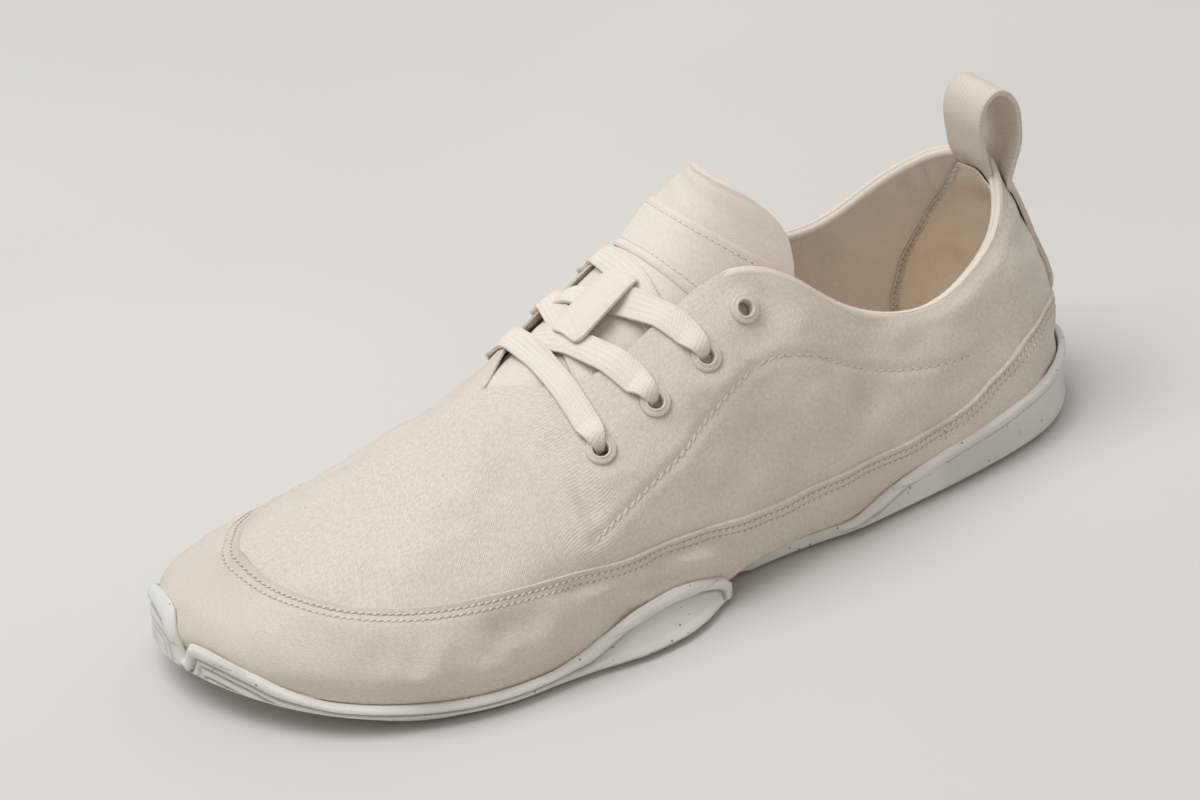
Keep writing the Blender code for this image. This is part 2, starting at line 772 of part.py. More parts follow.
def build_outsole_mesh():
    """Plate, slot, rim and lugs of the outsole as one body."""
    outline = outsole_outline()
    directions = inward_directions([point for point, around in outline])
    work = bmesh.new()
    columns = []
    for (point, around), inward in zip(outline, directions):
        columns.append([work.verts.new(place) for place in outsole_column(point, inward, around)])
    for number, here in enumerate(columns):
        there = columns[(number + 1) % len(columns)]
        for row in range(len(here) - 1):
            work.faces.new([here[row], there[row], there[row + 1], here[row + 1]])
    fill_sheet(work, [column[-1] for column in columns], PLATE, [])
    loops = [lug_outline(lug) for lug in LUGS]
    for faces in fill_sheet(work, [column[0] for column in columns], LUG_DEPTH, loops):
        grown = bmesh.ops.extrude_face_region(work, geom=faces)
        moved = [item for item in grown["geom"] if isinstance(item, bmesh.types.BMVert)]
        bmesh.ops.translate(work, verts=moved, vec=(0, 0, -LUG_DEPTH))
        bmesh.ops.delete(work, geom=faces, context="FACES")
    loose = [vert for vert in work.verts if not vert.link_faces]
    bmesh.ops.delete(work, geom=loose, context="VERTS")
    return mesh_from_bmesh("outsole", work)


def build_insole_mesh():
    """Footbed that lies on the turned-under cloth, inside the upper."""
    base = PLATE + GAP + WALL + GAP
    profile = [
        (WALL + FEATHER_ROUND, 0.0),
        (WALL + 3 * GAP, 0.5 * INSOLE_THICKNESS),
        (WALL + 3 * GAP, 0.85 * INSOLE_THICKNESS),
        (WALL + 6 * GAP, INSOLE_THICKNESS),
    ]
    places = shoe_columns()[::2]
    work = bmesh.new()
    columns = []
    for around in places:
        foot, outward = feather(around)
        column = []
        for inset, height in profile:
            place = foot - outward * inset
            column.append(work.verts.new((place[0], place[1], base + height + spring(place[0]))))
        columns.append(column)
    count = len(columns)
    for number, here in enumerate(columns):
        there = columns[(number + 1) % count]
        for row in range(len(profile) - 1):
            work.faces.new([here[row], there[row], there[row + 1], here[row + 1]])
    for row in (0, -1):
        for number in range(count // 2):
            corners = [number, number + 1, count - number - 1, (count - number) % count]
            corners = list(dict.fromkeys(corners))
            work.faces.new([columns[corner][row] for corner in corners])
    return mesh_from_bmesh("insole", work)


TONGUE_ROWS = [
    (row.x * MM * GRADE[0], row.z * MM * GRADE[2], row.half * MM, row.curl * MM) for row in TONGUE
]
TONGUE_COLUMNS = [eased_curve(range(len(TONGUE)), column) for column in zip(*TONGUE_ROWS)]


def tongue_point(along, across, lift):
    """Point of the tongue's top: along counts its rows, across runs from -1 to 1."""
    here = [column(along) for column in TONGUE_COLUMNS]
    ahead = [column(along + 0.1) for column in TONGUE_COLUMNS]
    behind = [column(along - 0.1) for column in TONGUE_COLUMNS]
    run = np.array([ahead[0] - behind[0], 0.0, ahead[1] - behind[1]])
    run /= np.linalg.norm(run)
    normal = np.array([run[2], 0.0, -run[0]])
    side = across * here[2]
    fall = here[3] * (side / (10 * MM)) ** 2
    return np.array([here[0], side, here[1]]) + normal * (lift - fall)


def sheet_object(name, rows, thickness, material, collection, parent):
    """Solid of one thickness on a grid of points, grown to the side its faces look to."""
    work = bmesh.new()
    grid = [[work.verts.new(point) for point in row] for row in rows]
    for here, there in zip(grid, grid[1:]):
        for number in range(len(here) - 1):
            work.faces.new([here[number], here[number + 1], there[number + 1], there[number]])
    mesh = bpy.data.meshes.new(name)
    work.to_mesh(mesh)
    work.free()
    item = add_object(name, mesh, material, collection, parent)
    solid = item.modifiers.new("thickness", "SOLIDIFY")
    solid.thickness = abs(thickness)
    solid.offset = math.copysign(1.0, thickness)
    solid.use_even_offset = True
    return item


def tongue_rows(start, end, steps, lift, share):
    rows = []
    for number in range(steps + 1):
        along = start + (end - start) * number / steps
        sides = np.linspace(-share, share, TONGUE_ACROSS + 1)
        rows.append([tongue_point(along, side, lift) for side in sides])
    return rows


def eyelet_place(eyelet, side):
    around = eyelet.at if side > 0 else LOOP - eyelet.at
    return last_point(around, eyelet.share), last_normal(around, eyelet.share)


def turned_ring(work, profile, place, normal):
    """Ring with a closed profile of radius and height, turned about a surface's normal."""
    axis = Vector(normal)
    first = axis.orthogonal().normalized()
    second = axis.cross(first)
    rings = []
    for number in range(EYELET_SIDES):
        angle = math.tau * number / EYELET_SIDES
        ray = first * math.cos(angle) + second * math.sin(angle)
        rings.append([work.verts.new(Vector(place) + ray * radius + axis * height)
                      for radius, height in profile])
    count = len(profile)
    for number, here in enumerate(rings):
        there = rings[(number + 1) % EYELET_SIDES]
        for row in range(count):
            after = (row + 1) % count
            work.faces.new([here[row], there[row], there[after], here[after]])


def build_eyelet_mesh(name, place, normal):
    under = -WALL - 2 * GAP
    profile = [
        (EYELET_BORE, under),
        (EYELET_BARREL, under),
        (EYELET_BARREL, EYELET_LIFT),
        (EYELET_FLANGE, EYELET_LIFT),
        (0.93 * EYELET_FLANGE, EYELET_HEIGHT),
        (1.25 * EYELET_BORE, EYELET_HEIGHT),
    ]
    work = bmesh.new()
    turned_ring(work, profile, place, normal)
    return mesh_from_bmesh(name, work)


def build_hole_cutter(places):
    """Round cutters through the facings, one at each eyelet."""
    work = bmesh.new()
    for place, normal in places:
        axis = Vector(normal)
        first = axis.orthogonal().normalized()
        second = axis.cross(first)
        ends = []
        for height in (-3 * WALL, 2 * WALL):
            ring = []
            for number in range(EYELET_SIDES):
                angle = math.tau * number / EYELET_SIDES
                ray = first * math.cos(angle) + second * math.sin(angle)
                ring.append(work.verts.new(Vector(place) + ray * EYELET_HOLE + axis * height))
            work.faces.new(ring)
            ends.append(ring)
        for number in range(EYELET_SIDES):
            after = (number + 1) % EYELET_SIDES
            work.faces.new([ends[0][number], ends[0][after], ends[1][after], ends[1][number]])
    return mesh_from_bmesh("eyelet_holes", work)


def tree_of(item):
    bpy.context.view_layer.update()
    return BVHTree.FromObject(item, bpy.context.evaluated_depsgraph_get())


def height_over(place, beds):
    """Height at which a strip clears the topmost surface under a plan point, or nothing."""
    best = None
    for tree, clearance in beds:
        hit = tree.ray_cast(Vector((place[0], place[1], 0.2)), Vector((0, 0, -1)))
        if hit[0] is not None and (best is None or hit[0].z + clearance > best):
            best = hit[0].z + clearance
    return best


def taut(stations, heights):
    """Heights of a line drawn tight over obstacles."""
    hull = []
    for point in zip(stations, heights):
        while len(hull) > 1:
            first, middle = hull[-2], hull[-1]
            rise = (middle[1] - first[1]) * (point[0] - first[0])
            if rise > (point[1] - first[1]) * (middle[0] - first[0]):
                break
            hull.pop()
        hull.append(point)
    return lambda where: float(np.interp(where, [p[0] for p in hull], [p[1] for p in hull]))


def strip_rows(start, end, width, beds):
    """Flat strip drawn tight over what lies below, as rows of three points."""
    along = end - start
    side = np.array([-along[1], along[0]]) / np.linalg.norm(along)
    lines = []
    for offset in (0.5 * width, 0.0, -0.5 * width):
        stations = []
        heights = []
        for share in np.linspace(0, 1, LACE_SAMPLES):
            height = height_over(start + along * share + side * offset, beds)
            if height is not None:
                stations.append(share)
                heights.append(height)
        lines.append((offset, taut(stations, heights)))
    rows = []
    for share in np.linspace(0, 1, LACE_STEPS + 1):
        row = []
        for offset, line in lines:
            place = start + along * share + side * offset
            row.append(np.array([place[0], place[1], line(share)]))
        rows.append(row)
    return rows


def strand_ends(strand):
    """Plan points where a strand starts beside its eyelet and where it ends."""
    centre = eyelet_place(EYELETS[strand.eyelet - 1], strand.side)[0][:2]
    if strand.ends_at is None:
        goal = eyelet_place(EYELETS[strand.eyelet - 1], -strand.side)[0][:2]
        along = (goal - centre) / np.linalg.norm(goal - centre)
        return centre + along * (EYELET_FLANGE + 2 * GAP), goal - along * (EYELET_FLANGE + 2 * GAP)
    far = strand.ends_at if strand.side < 0 else LOOP - strand.ends_at
    goal = np.array(section_edge(far)[:2])
    along = (goal - centre) / np.linalg.norm(goal - centre)
    return centre + along * (EYELET_FLANGE + 2 * GAP), goal - along * 0.5 * LACE_WIDTH


def join_strand(base, other):
    """Join a second strand to the first where they cross."""
    union = base.modifiers.new("crossing", "BOOLEAN")
    union.operation = "UNION"
    union.solver = "EXACT"
    union.object = other
    other.hide_render = True
    other.display_type = "WIRE"


def loop_rows():
    """Rows of the pull loop from the strap on the heel, over the loop, to its end inside."""
    places = np.linspace(LOOP_HALF_SECTIONS, -LOOP_HALF_SECTIONS, LOOP_ACROSS + 1)
    rows = []
    for share in STRAP_SHARES:
        rows.append([last_point(p, share) + last_normal(p, share) * GAP for p in places])
    sides = [point[1] for point in rows[-1]]
    for row in PULL_LOOP:
        rows.append([np.array([row.x * MM * GRADE[0], side, row.z * MM * GRADE[2]]) for side in sides])
    for share in STRAP_INNER_SHARES:
        inner = [last_point(p, share) - last_normal(p, share) * (WALL + GAP) for p in places]
        rows.append(inner)
    return rows


def centre_frame(root, items):
    """Move the frame so that its origin lies under the middle of the shoe."""
    bpy.context.view_layer.update()
    graph = bpy.context.evaluated_depsgraph_get()
    corners = []
    for item in items:
        shown = item.evaluated_get(graph)
        mesh = shown.to_mesh()
        corners += [vert.co.copy() for vert in mesh.vertices]
        shown.to_mesh_clear()
    corners = np.array(corners)
    middle = (corners.min(axis=0) + corners.max(axis=0)) / 2
    root.location = (-middle[0], -middle[1], 0.0)


def main():
    clear_scene()
    pieces = new_collection("barefoot_shoe")
    cutters = new_collection("cutters")
    root = bpy.data.objects.new("shoe_frame", None)
    pieces.objects.link(root)
    canvas = new_material("canvas", (0.66, 0.57, 0.50), 0.9)
    rubber = new_material("rubber", (0.60, 0.59, 0.56), 0.8)
    board = new_material("board", (0.03, 0.03, 0.03), 0.9)
    cord = new_material("lace", (0.74, 0.67, 0.60), 0.9)
    ring = new_material("eyelet", (0.72, 0.65, 0.57), 0.6)
    webbing = new_material("webbing", (0.62, 0.54, 0.46), 0.9)

    upper = add_object("upper", build_upper_mesh(), canvas, pieces, root)
    outsole = add_object("outsole", build_outsole_mesh(), rubber, pieces, root)
    insole = add_object("insole", build_insole_mesh(), board, pieces, root)
    rows = tongue_rows(0, len(TONGUE) - 1, TONGUE_ALONG, 0.0, 1.0)
    tongue = sheet_object("tongue", rows, -TONGUE_THICKNESS, canvas, pieces, root)
    rows = tongue_rows(PATCH_FROM, PATCH_TO, 4, GAP, PATCH_SHARE)
    patch = sheet_object("tongue_patch", rows, PATCH_THICKNESS, canvas, pieces, root)
    items = [upper, outsole, insole, tongue, patch]

    holes = []
    eyelets = []
    for word, side in (("lateral", 1), ("medial", -1)):
        for eyelet in EYELETS:
            place, normal = eyelet_place(eyelet, side)
            name = f"eyelet_{word}_{eyelet.number}"
            mesh = build_eyelet_mesh(name, place, normal)
            eyelets.append(add_object(name, mesh, ring, pieces, root))
            holes.append((place, normal))
    cutter = add_object("eyelet_holes", build_hole_cutter(holes), canvas, cutters, root)
    cutter.hide_render = True
    cutter.display_type = "WIRE"
    cut = upper.modifiers.new("eyelet_holes", "BOOLEAN")
    cut.operation = "DIFFERENCE"
    cut.solver = "EXACT"
    cut.object = cutter
    items += eyelets

    beds = [(tree_of(item), LACE_CLEARANCE) for item in (upper, tongue, patch, *eyelets)]
    crossings = {}
    for strand in STRANDS:
        start, end = strand_ends(strand)
        first = crossings.get(strand.piece)
        if first is None:
            rows = strip_rows(start, end, LACE_WIDTH, beds)
            item = sheet_object(strand.piece, rows, LACE_THICKNESS, cord, pieces, root)
            crossings[strand.piece] = item
            items.append(item)
            below = tree_of(item)
            continue
        rows = strip_rows(start, end, LACE_WIDTH, beds + [(below, -LACE_BED)])
        item = sheet_object(strand.piece + "_over", rows, LACE_THICKNESS, cord, cutters, root)
        join_strand(first, item)
        beds.append((tree_of(first), 2 * LACE_CLEARANCE))
    rows = strip_rows(sample_point(*KEEPER_FROM), sample_point(*KEEPER_TO), KEEPER_WIDTH, beds)
    items.append(sheet_object("lace_keeper", rows, KEEPER_THICKNESS, canvas, pieces, root))
    items.append(sheet_object("pull_loop", loop_rows(), WEBBING_THICKNESS, webbing, pieces, root))
    centre_frame(root, items)


main()
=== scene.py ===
# %% [markdown]
# # A barefoot shoe for the left foot
#
# This lesson dresses a plain solid model of a low canvas shoe. The solids come first and stay as a
# fixed frame. Every piece below is draped, swept or spun around the same foot-shaped last that the
# solids follow, so cloth, rubber, lace and stitches meet where a shoemaker would join them.

# %% Frame
import math
from collections import namedtuple

import bpy
import numpy as np
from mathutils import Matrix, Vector, noise
from mathutils.bvhtree import BVHTree
from mathutils.geometry import delaunay_2d_cdt


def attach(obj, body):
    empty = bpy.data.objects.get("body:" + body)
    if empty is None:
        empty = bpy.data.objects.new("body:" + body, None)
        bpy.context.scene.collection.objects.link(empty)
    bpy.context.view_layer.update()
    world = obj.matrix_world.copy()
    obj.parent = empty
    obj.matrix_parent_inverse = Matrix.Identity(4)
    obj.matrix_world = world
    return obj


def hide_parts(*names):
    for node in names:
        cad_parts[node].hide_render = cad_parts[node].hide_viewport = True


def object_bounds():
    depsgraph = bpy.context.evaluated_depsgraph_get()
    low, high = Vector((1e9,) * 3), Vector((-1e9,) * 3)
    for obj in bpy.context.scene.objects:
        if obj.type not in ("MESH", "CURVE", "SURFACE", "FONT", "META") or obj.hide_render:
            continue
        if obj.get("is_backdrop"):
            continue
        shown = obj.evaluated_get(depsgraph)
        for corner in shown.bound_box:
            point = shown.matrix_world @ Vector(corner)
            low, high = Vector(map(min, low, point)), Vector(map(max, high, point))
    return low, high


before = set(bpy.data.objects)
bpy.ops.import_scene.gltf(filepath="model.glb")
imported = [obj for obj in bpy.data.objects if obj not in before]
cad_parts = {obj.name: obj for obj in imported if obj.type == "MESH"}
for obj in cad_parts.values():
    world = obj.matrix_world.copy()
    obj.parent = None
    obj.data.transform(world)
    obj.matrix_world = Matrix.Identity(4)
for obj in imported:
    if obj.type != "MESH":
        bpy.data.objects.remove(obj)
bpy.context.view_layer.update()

# %% [markdown]
# ## Camera, floor and light
#
# The shoe is seen from its outer side, from the toe and from above, with a long lens. The camera is
# rolled a little because the shoe in the picture leans. A big soft lamp above the toe makes the vamp
# bright and leaves the outer side in half shade, and a pale world fills the shadows.

# %% Camera, floor and light
CAMERA_PLACE = (0.5103, 0.8439, 0.5964)
CAMERA_TURN = (60.544, 4.685, 146.681)
CAMERA_LENS = 128.0
CAMERA_SENSOR = 36.0
FLOOR_SIZE = 12.0

scene = bpy.context.scene
scene.view_settings.view_transform = "Standard"
bpy.ops.object.select_all(action="DESELECT")
bpy.ops.object.camera_add(location=CAMERA_PLACE, rotation=[math.radians(turn) for turn in CAMERA_TURN])
camera = bpy.context.object
camera.data.lens = CAMERA_LENS
camera.data.sensor_width = CAMERA_SENSOR
camera.data.clip_start = 0.01
scene.camera = camera

Lamp = namedtuple("Lamp", "name place size power colour")
LAMPS = [
    Lamp("key", (0.62, -0.25, 1.85), 1.4, 30.0, (0.945, 0.975, 1.0)),
    Lamp("fill", (0.9, 1.5, 1.25), 1.8, 5.2, (1.0, 0.93, 0.84)),
    Lamp("back", (-1.2, -0.6, 1.3), 1.2, 5.0, (0.95, 0.97, 1.0)),
]
for lamp in LAMPS:
    bpy.ops.object.light_add(type="AREA", location=lamp.place)
    light = bpy.context.object
    light.name = lamp.name
    light.data.size = lamp.size
    light.data.energy = lamp.power
    light.data.color = lamp.colour
    aim = Vector((0.0, 0.0, 0.04)) - light.location
    light.rotation_euler = aim.to_track_quat("-Z", "Y").to_euler()

world = bpy.data.worlds.new("pale_studio")
world.use_nodes = True
world.node_tree.nodes["Background"].inputs["Color"].default_value = (0.99, 0.965, 0.935, 1.0)
world.node_tree.nodes["Background"].inputs["Strength"].default_value = 0.34
scene.world = world

bpy.ops.mesh.primitive_plane_add(size=FLOOR_SIZE, location=(0, 0, -0.0004))
floor = bpy.context.object
floor.name = "floor"
floor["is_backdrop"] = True

# %% [markdown]
# ## Shader words
#
# A finish is easier to read as a sum than as a drawing of wires. `Value` wraps one socket, so that
# `0.5 * weave + grain` adds the Math nodes. `Finish` holds one material and adds any other node by
# its type, its settings and what feeds its sockets.

# %% Shader words
class Value:
    def __init__(self, tree, socket):
        self.tree = tree
        self.socket = socket

    def join(self, operation, other=0.0, swapped=False):
        node = self.tree.nodes.new("ShaderNodeMath")
        node.operation = operation
        pair = (other, self) if swapped else (self, other)
        for slot, item in zip(node.inputs, pair):
            plug(self.tree, slot, item)
        return Value(self.tree, node.outputs[0])

    def __add__(self, other):
        return self.join("ADD", other)

    def __sub__(self, other):
        return self.join("SUBTRACT", other)

    def __rsub__(self, other):
        return self.join("SUBTRACT", other, True)

    def __mul__(self, other):
        return self.join("MULTIPLY", other)

    __radd__ = __add__
    __rmul__ = __mul__


def plug(tree, slot, item):
    """Join a value to a socket, or set the socket to a plain number or colour."""
    if isinstance(item, Value):
        tree.links.new(item.socket, slot)
    else:
        slot.default_value = (*item, 1.0) if slot.type == "RGBA" else item


class Finish:
    def __init__(self, name, roughness, sheen=0.0):
        self.material = bpy.data.materials.new(name)
        self.material.use_nodes = True
        self.tree = self.material.node_tree
        self.shader = self.tree.nodes["Principled BSDF"]
        self.shader.inputs["Roughness"].default_value = roughness
        self.shader.inputs["Specular IOR Level"].default_value = 0.25
        self.shader.inputs["Sheen Weight"].default_value = sheen

    def node(self, kind, settings=None, output=0, **sockets):
        node = self.tree.nodes.new("ShaderNode" + kind)
        for key, value in (settings or {}).items():
            setattr(node, key, value)
        for key, value in sockets.items():
            plug(self.tree, node.inputs[key.replace("_", " ")], value)
        return Value(self.tree, node.outputs[output])

    def blend(self, first, second, share):
        node = self.tree.nodes.new("ShaderNodeMix")
        node.data_type = "RGBA"
        for number, item in ((0, share), (6, first), (7, second)):
            plug(self.tree, node.inputs[number], item)
        return Value(self.tree, node.outputs[2])

    def between(self, value, low, high):
        return self.node("MapRange", {"interpolation_type": "SMOOTHSTEP"},
                         Value=value, From_Min=low, From_Max=high)

    def place(self):
        return self.node("TexCoord", output=3)

    def noise(self, scale, detail=2.0, vector=None):
        return self.node("TexNoise", Vector=vector or self.place(), Scale=scale, Detail=detail)

    def cloth_place(self):
        split = self.tree.nodes.new("ShaderNodeSeparateXYZ")
        plug(self.tree, split.inputs[0], self.node("UVMap", {"uv_map": "UVMap"}))
        return Value(self.tree, split.outputs[0]), Value(self.tree, split.outputs[1])

    def attribute(self, name):
        return self.node("Attribute", {"attribute_name": name}, output=2)

    def colour(self, item):
        plug(self.tree, self.shader.inputs["Base Color"], item)

    def bump(self, height, distance, strength=1.0):
        normal = self.node("Bump", Height=height, Distance=distance, Strength=strength)
        plug(self.tree, self.shader.inputs["Normal"], normal)


# %% [markdown]
# ## Finishes
#
# The upper is a pale twill: fine slanting ribs about half a millimetre apart, with slubs and a cloudy
# tone from the dye. Its pattern follows the cloth's own map, which is measured in millimetres. The
# rubber is off-white with small dark flecks of regrind. Lace and webbing show their own ribs.

# %% Cloth finishes
def twill(name, pale, deep, pitch, depth, lines=0.4):
    finish = Finish(name, 0.93, 0.25)
    across, along = finish.cloth_place()
    slant = across + along
    cross = across - along
    streak = finish.noise(1.0, 2.0, finish.node("CombineXYZ", X=slant * 1.3, Y=cross * 0.55))
    ribs = ((slant + 0.25 * streak) * (math.tau / pitch)).join("SINE")
    threads = (cross * (math.tau / (0.62 * pitch))).join("SINE")
    weave = 0.5 + 0.36 * ribs + 0.12 * threads
    cloud = finish.noise(26.0, 3.0)
    slub = finish.noise(1.0, 2.0, finish.node("CombineXYZ", X=along * 1.4, Y=across * 0.6))
    tone = finish.between(cloud * 0.15 + slub * 0.35 + streak * 0.5, 0.38, 0.62)
    base = finish.blend(deep, pale, tone)
    shaded = finish.blend(base, tuple(0.72 * part for part in deep), lines * (1 - weave))
    # Painted shade: the shade attribute darkens the cloth toward a deep tone under folds, in grooves, in the
    # throat and along edges.
    painted_shade = finish.attribute("shade")
    finish.colour(finish.blend(shaded, tuple(0.55 * part for part in deep), painted_shade))
    finish.bump(weave * 0.6 + streak * 0.55 + slub * 0.5, depth, 0.6)
    return finish.material


def ribbed(name, pale, deep, pitch, depth, slant=0.35):
    finish = Finish(name, 0.9, 0.2)
    across, along = finish.cloth_place()
    ribs = (across * (math.tau / pitch)).join("SINE")
    picks = ((along + across * slant) * (math.tau / (0.8 * pitch))).join("SINE")
    grain = finish.noise(600.0, 2.0)
    weave = 0.5 + 0.3 * ribs + 0.2 * picks
    base = finish.blend(deep, pale, weave * 0.5 + grain * 0.5)
    # Painted shade: the shade attribute darkens the tape along its rolled edges.
    painted_shade = finish.attribute("shade")
    finish.colour(finish.blend(base, tuple(0.5 * part for part in deep), painted_shade))
    finish.bump(weave + 0.5 * grain, depth, 0.6)
    return finish.material


canvas_finish = twill("canvas_twill", (0.82, 0.732, 0.644), (0.69, 0.607, 0.526), 0.8, 0.00018, 0.36)
# Lining and heel colours are lightened as painted light, standing in for the lamp light that barely reaches
# inside.
lining_finish = twill("lining_twill", (0.90, 0.81, 0.72), (0.83, 0.735, 0.645), 0.8, 0.00012)
heel_finish = twill("heel_lining", (0.95, 0.83, 0.70), (0.90, 0.77, 0.635), 0.9, 0.00012)
tongue_finish = twill("tongue_twill", (0.855, 0.77, 0.685), (0.795, 0.71, 0.622), 0.7, 0.00006, 0.2)
lace_finish = ribbed("lace_weave", (0.87, 0.79, 0.705), (0.77, 0.69, 0.60), 1.25, 0.00028)
webbing_finish = ribbed("webbing_weave", (0.76, 0.675, 0.59), (0.635, 0.555, 0.475), 1.1, 0.0003)
print("cloth finishes ready")


# %% Other finishes
def speckled_rubber(name, pale, deep):
    finish = Finish(name, 0.72)
    cloud = finish.noise(30.0, 3.0)
    patchy = finish.noise(140.0, 1.0)
    bend = finish.noise(900.0, 1.0)
    spot = finish.node("TexVoronoi", Vector=finish.place(), Scale=360.0)
    grain = finish.noise(1500.0, 2.0)
    flecks = finish.between(spot + 0.25 * bend, 0.27, 0.19) * finish.between(patchy, 0.43, 0.49)
    base = finish.blend(deep, pale, finish.between(cloud, 0.35, 0.65))
    sooty = finish.blend(base, (0.15, 0.14, 0.115), flecks * 0.8)
    # Painted shade: the shade attribute darkens the rubber toward a brownish grey in its grooves.
    painted_shade = finish.attribute("shade")
    finish.colour(finish.blend(sooty, (0.27, 0.255, 0.205), painted_shade))
    finish.bump(grain * 0.5 + cloud, 0.00012, 0.4)
    return finish.material


def plain_finish(name, colour, roughness, scale, depth):
    finish = Finish(name, roughness)
    grain = finish.noise(scale, 3.0)
    finish.colour(finish.blend(tuple(0.82 * part for part in colour), colour, grain))
    finish.bump(grain, depth, 0.5)
    return finish.material


rubber_finish = speckled_rubber("speckled_rubber", (0.76, 0.757, 0.71), (0.675, 0.675, 0.626))
board_finish = plain_finish("black_board", (0.012, 0.012, 0.012), 0.9, 900.0, 0.0001)
thread_finish = plain_finish("thread", (0.85, 0.76, 0.665), 0.8, 2500.0, 0.00008)
pale_thread_finish = plain_finish("pale_thread", (0.80, 0.71, 0.62), 0.8, 2500.0, 0.00008)
# Painted shade: small dark beads stand for the shadowed needle holes of the seams.
hole_shade_finish = plain_finish("needle_holes", (0.48, 0.40, 0.335), 0.95, 900.0, 0.00005)
eyelet_finish = plain_finish("painted_ring", (0.735, 0.66, 0.575), 0.45, 700.0, 0.00006)
floor_finish = plain_finish("pale_floor", (0.715, 0.70, 0.66), 0.9, 3.0, 0.0002)
floor.data.materials.append(floor_finish)
print("other finishes ready")

# %% [markdown]
# ## The last
#
# A shoe is built over a last, a solid foot. Here it is a table with a row for each section round the
# foot, from the heel to the toe on both sides: where the section starts at the feather edge, where
# it ends at collar, throat or vamp ridge, and how full it is. A closed curve runs through the rows,
# so any place round the foot and any share of its height gives one point of the surface.

# %% Table of sections
MM = 0.001
LAST_MIDDLE = np.array([138.64, 1.28, 0.0])
WALL = 2.2
GAP = 0.5
PLATE = 4.5
LUG_DEPTH = 1.0
FEATHER_ROUND = 4.0
HIDDEN_ROUND = 0.7
ROUND_SHARE = 0.35
BAND_STEP = 0.9
LENGTH = 278.0
TOE_SPRING = 9.5
TOE_SPRING_START = 0.72 * LENGTH
HEEL_SPRING = 2.2
HEEL_SPRING_END = 0.09 * LENGTH

Section = namedtuple("Section", "foot_x foot_y edge_x edge_y edge_z arc full bulge margin band")
LATERAL = [Section(*row) for row in (
    (4.5, 0, 18, 0, 74, 34, 2.0, 0.5, 11, 0.30),
    (7, 12, 20.5, 9.5, 69, 34, 2.0, 0.8, 11, 0.345),
    (14.5, 22.5, 28, 17.5, 60, 33, 2.0, 1.2, 11, 0.46),
    (31, 31, 42, 23.5, 53.5, 31, 2.0, 2.0, 11, 0.455),
    (60, 35.5, 61, 26.5, 50.5, 30, 2.0, 2.5, 11, 0.30),
    (88, 38, 84, 26.5, 59.5, 36, 2.0, 3.0, 11, 0.235),
    (112, 40.5, 101, 24, 74, 46, 2.0, 3.0, 11, 0.175),
    (131, 42.5, 118, 19.5, 79.5, 58, 2.0, 3.0, 11, 0.165),
    (151, 45, 138, 18, 72, 66, 2.0, 2.5, 11, 0.21),
    (171, 47.5, 163, 14.5, 61.5, 74, 2.0, 2.5, 11, 0.265),
    (190, 49, 181, -3.0, 59.0, 88, 2.0, 2.5, 11, 0.285),
    (212, 48.5, 200, -3.5, 51.5, 90, 2.0, 2.0, 11, 0.35),
    (232, 43.0, 216, -4.5, 46.2, 90, 2.0, 1.5, 11, 0.42),
    (250, 32.0, 230, -6.0, 41.8, 90, 2.0, 1.0, 11, 0.53),
    (262.5, 17.0, 240, -7.5, 38.0, 90, 2.0, 1.0, 11, 0.7),
    (270, 1, 246, -8.5, 35.6, 90, 2.0, 1.0, 11, 0.86),
    (272.5, -15, 248.5, -9.5, 34.6, 90, 2.0, 1.0, 11, 0.93),
)]
MEDIAL = [Section(*row) for row in (
    LATERAL[0],
    (7, -12, 20.5, -9.5, 73.0, 34, 2.0, 0.8, 11, 0.32),
    (14.5, -23, 27.5, -17, 70, 33, 2.0, 1.2, 11, 0.37),
    (31, -30.5, 42, -22.5, 63.5, 32, 2.0, 2.0, 11, 0.40),
    (60, -30.5, 61, -24.5, 57, 32, 2.0, 3.0, 14, 0.32),
    (88, -27, 84, -24, 61.5, 36, 2.0, 6.0, 24, 0.25),
    (110, -24.5, 102, -22.5, 73, 44, 2.0, 9.0, 32, 0.2),
    (128, -24.5, 119, -20, 79, 54, 2.0, 9.5, 32, 0.19),
    (146, -27, 140, -17.5, 72, 64, 2.0, 7.0, 26, 0.22),
    (163, -33, 164, -14.5, 61.0, 74, 1.75, 4.5, 16, 0.265),
    (180, -41.5, 181, -3.0, 59.0, 88, 1.55, 2.0, 11, 0.3),
    (200, -47.0, 200, -3.5, 51.5, 90, 1.5, 1.0, 11, 0.36),
    (222, -48.5, 216, -4.5, 46.2, 90, 1.5, 0.5, 11, 0.435),
    (243, -46.5, 230, -6.0, 41.8, 90, 1.6, 0.5, 11, 0.55),
    (259, -40.5, 240, -7.5, 38.0, 90, 1.8, 0.5, 11, 0.74),
    (268.5, -29.5, 246, -8.5, 35.6, 90, 2.0, 0.5, 11, 0.87),
    LATERAL[16],
)]
TOE = len(LATERAL) - 1
LOOP = 2 * TOE
THROAT = 10
FACING_BACK = 7


# %% Curves through tables
def closed_curve(rows):
    rows = np.asarray(rows, float)
    count = len(rows)
    ones = np.eye(count)
    system = 4 * ones + np.roll(ones, 1, 1) + np.roll(ones, -1, 1)
    bend = np.linalg.solve(system, 6 * (np.roll(rows, -1, 0) - 2 * rows + np.roll(rows, 1, 0)))

    def at(place):
        place = np.asarray(place, float)
        whole = np.floor(place).astype(int)
        part = (place - whole)[..., None]
        first = whole % count
        last = (whole + 1) % count
        straight = rows[first] * (1 - part) + rows[last] * part
        early = bend[first] * ((1 - part) ** 3 - (1 - part)) / 6
        late = bend[last] * (part ** 3 - part) / 6
        return straight + early + late

    return at


def cubic_between(first, last, leave, arrive, share):
    """Between two values, with the slopes at which the first is left and the last is reached."""
    start = first * (1 + 2 * share) * (1 - share) ** 2 + leave * share * (1 - share) ** 2
    return start + last * share ** 2 * (3 - 2 * share) + arrive * share ** 2 * (share - 1)


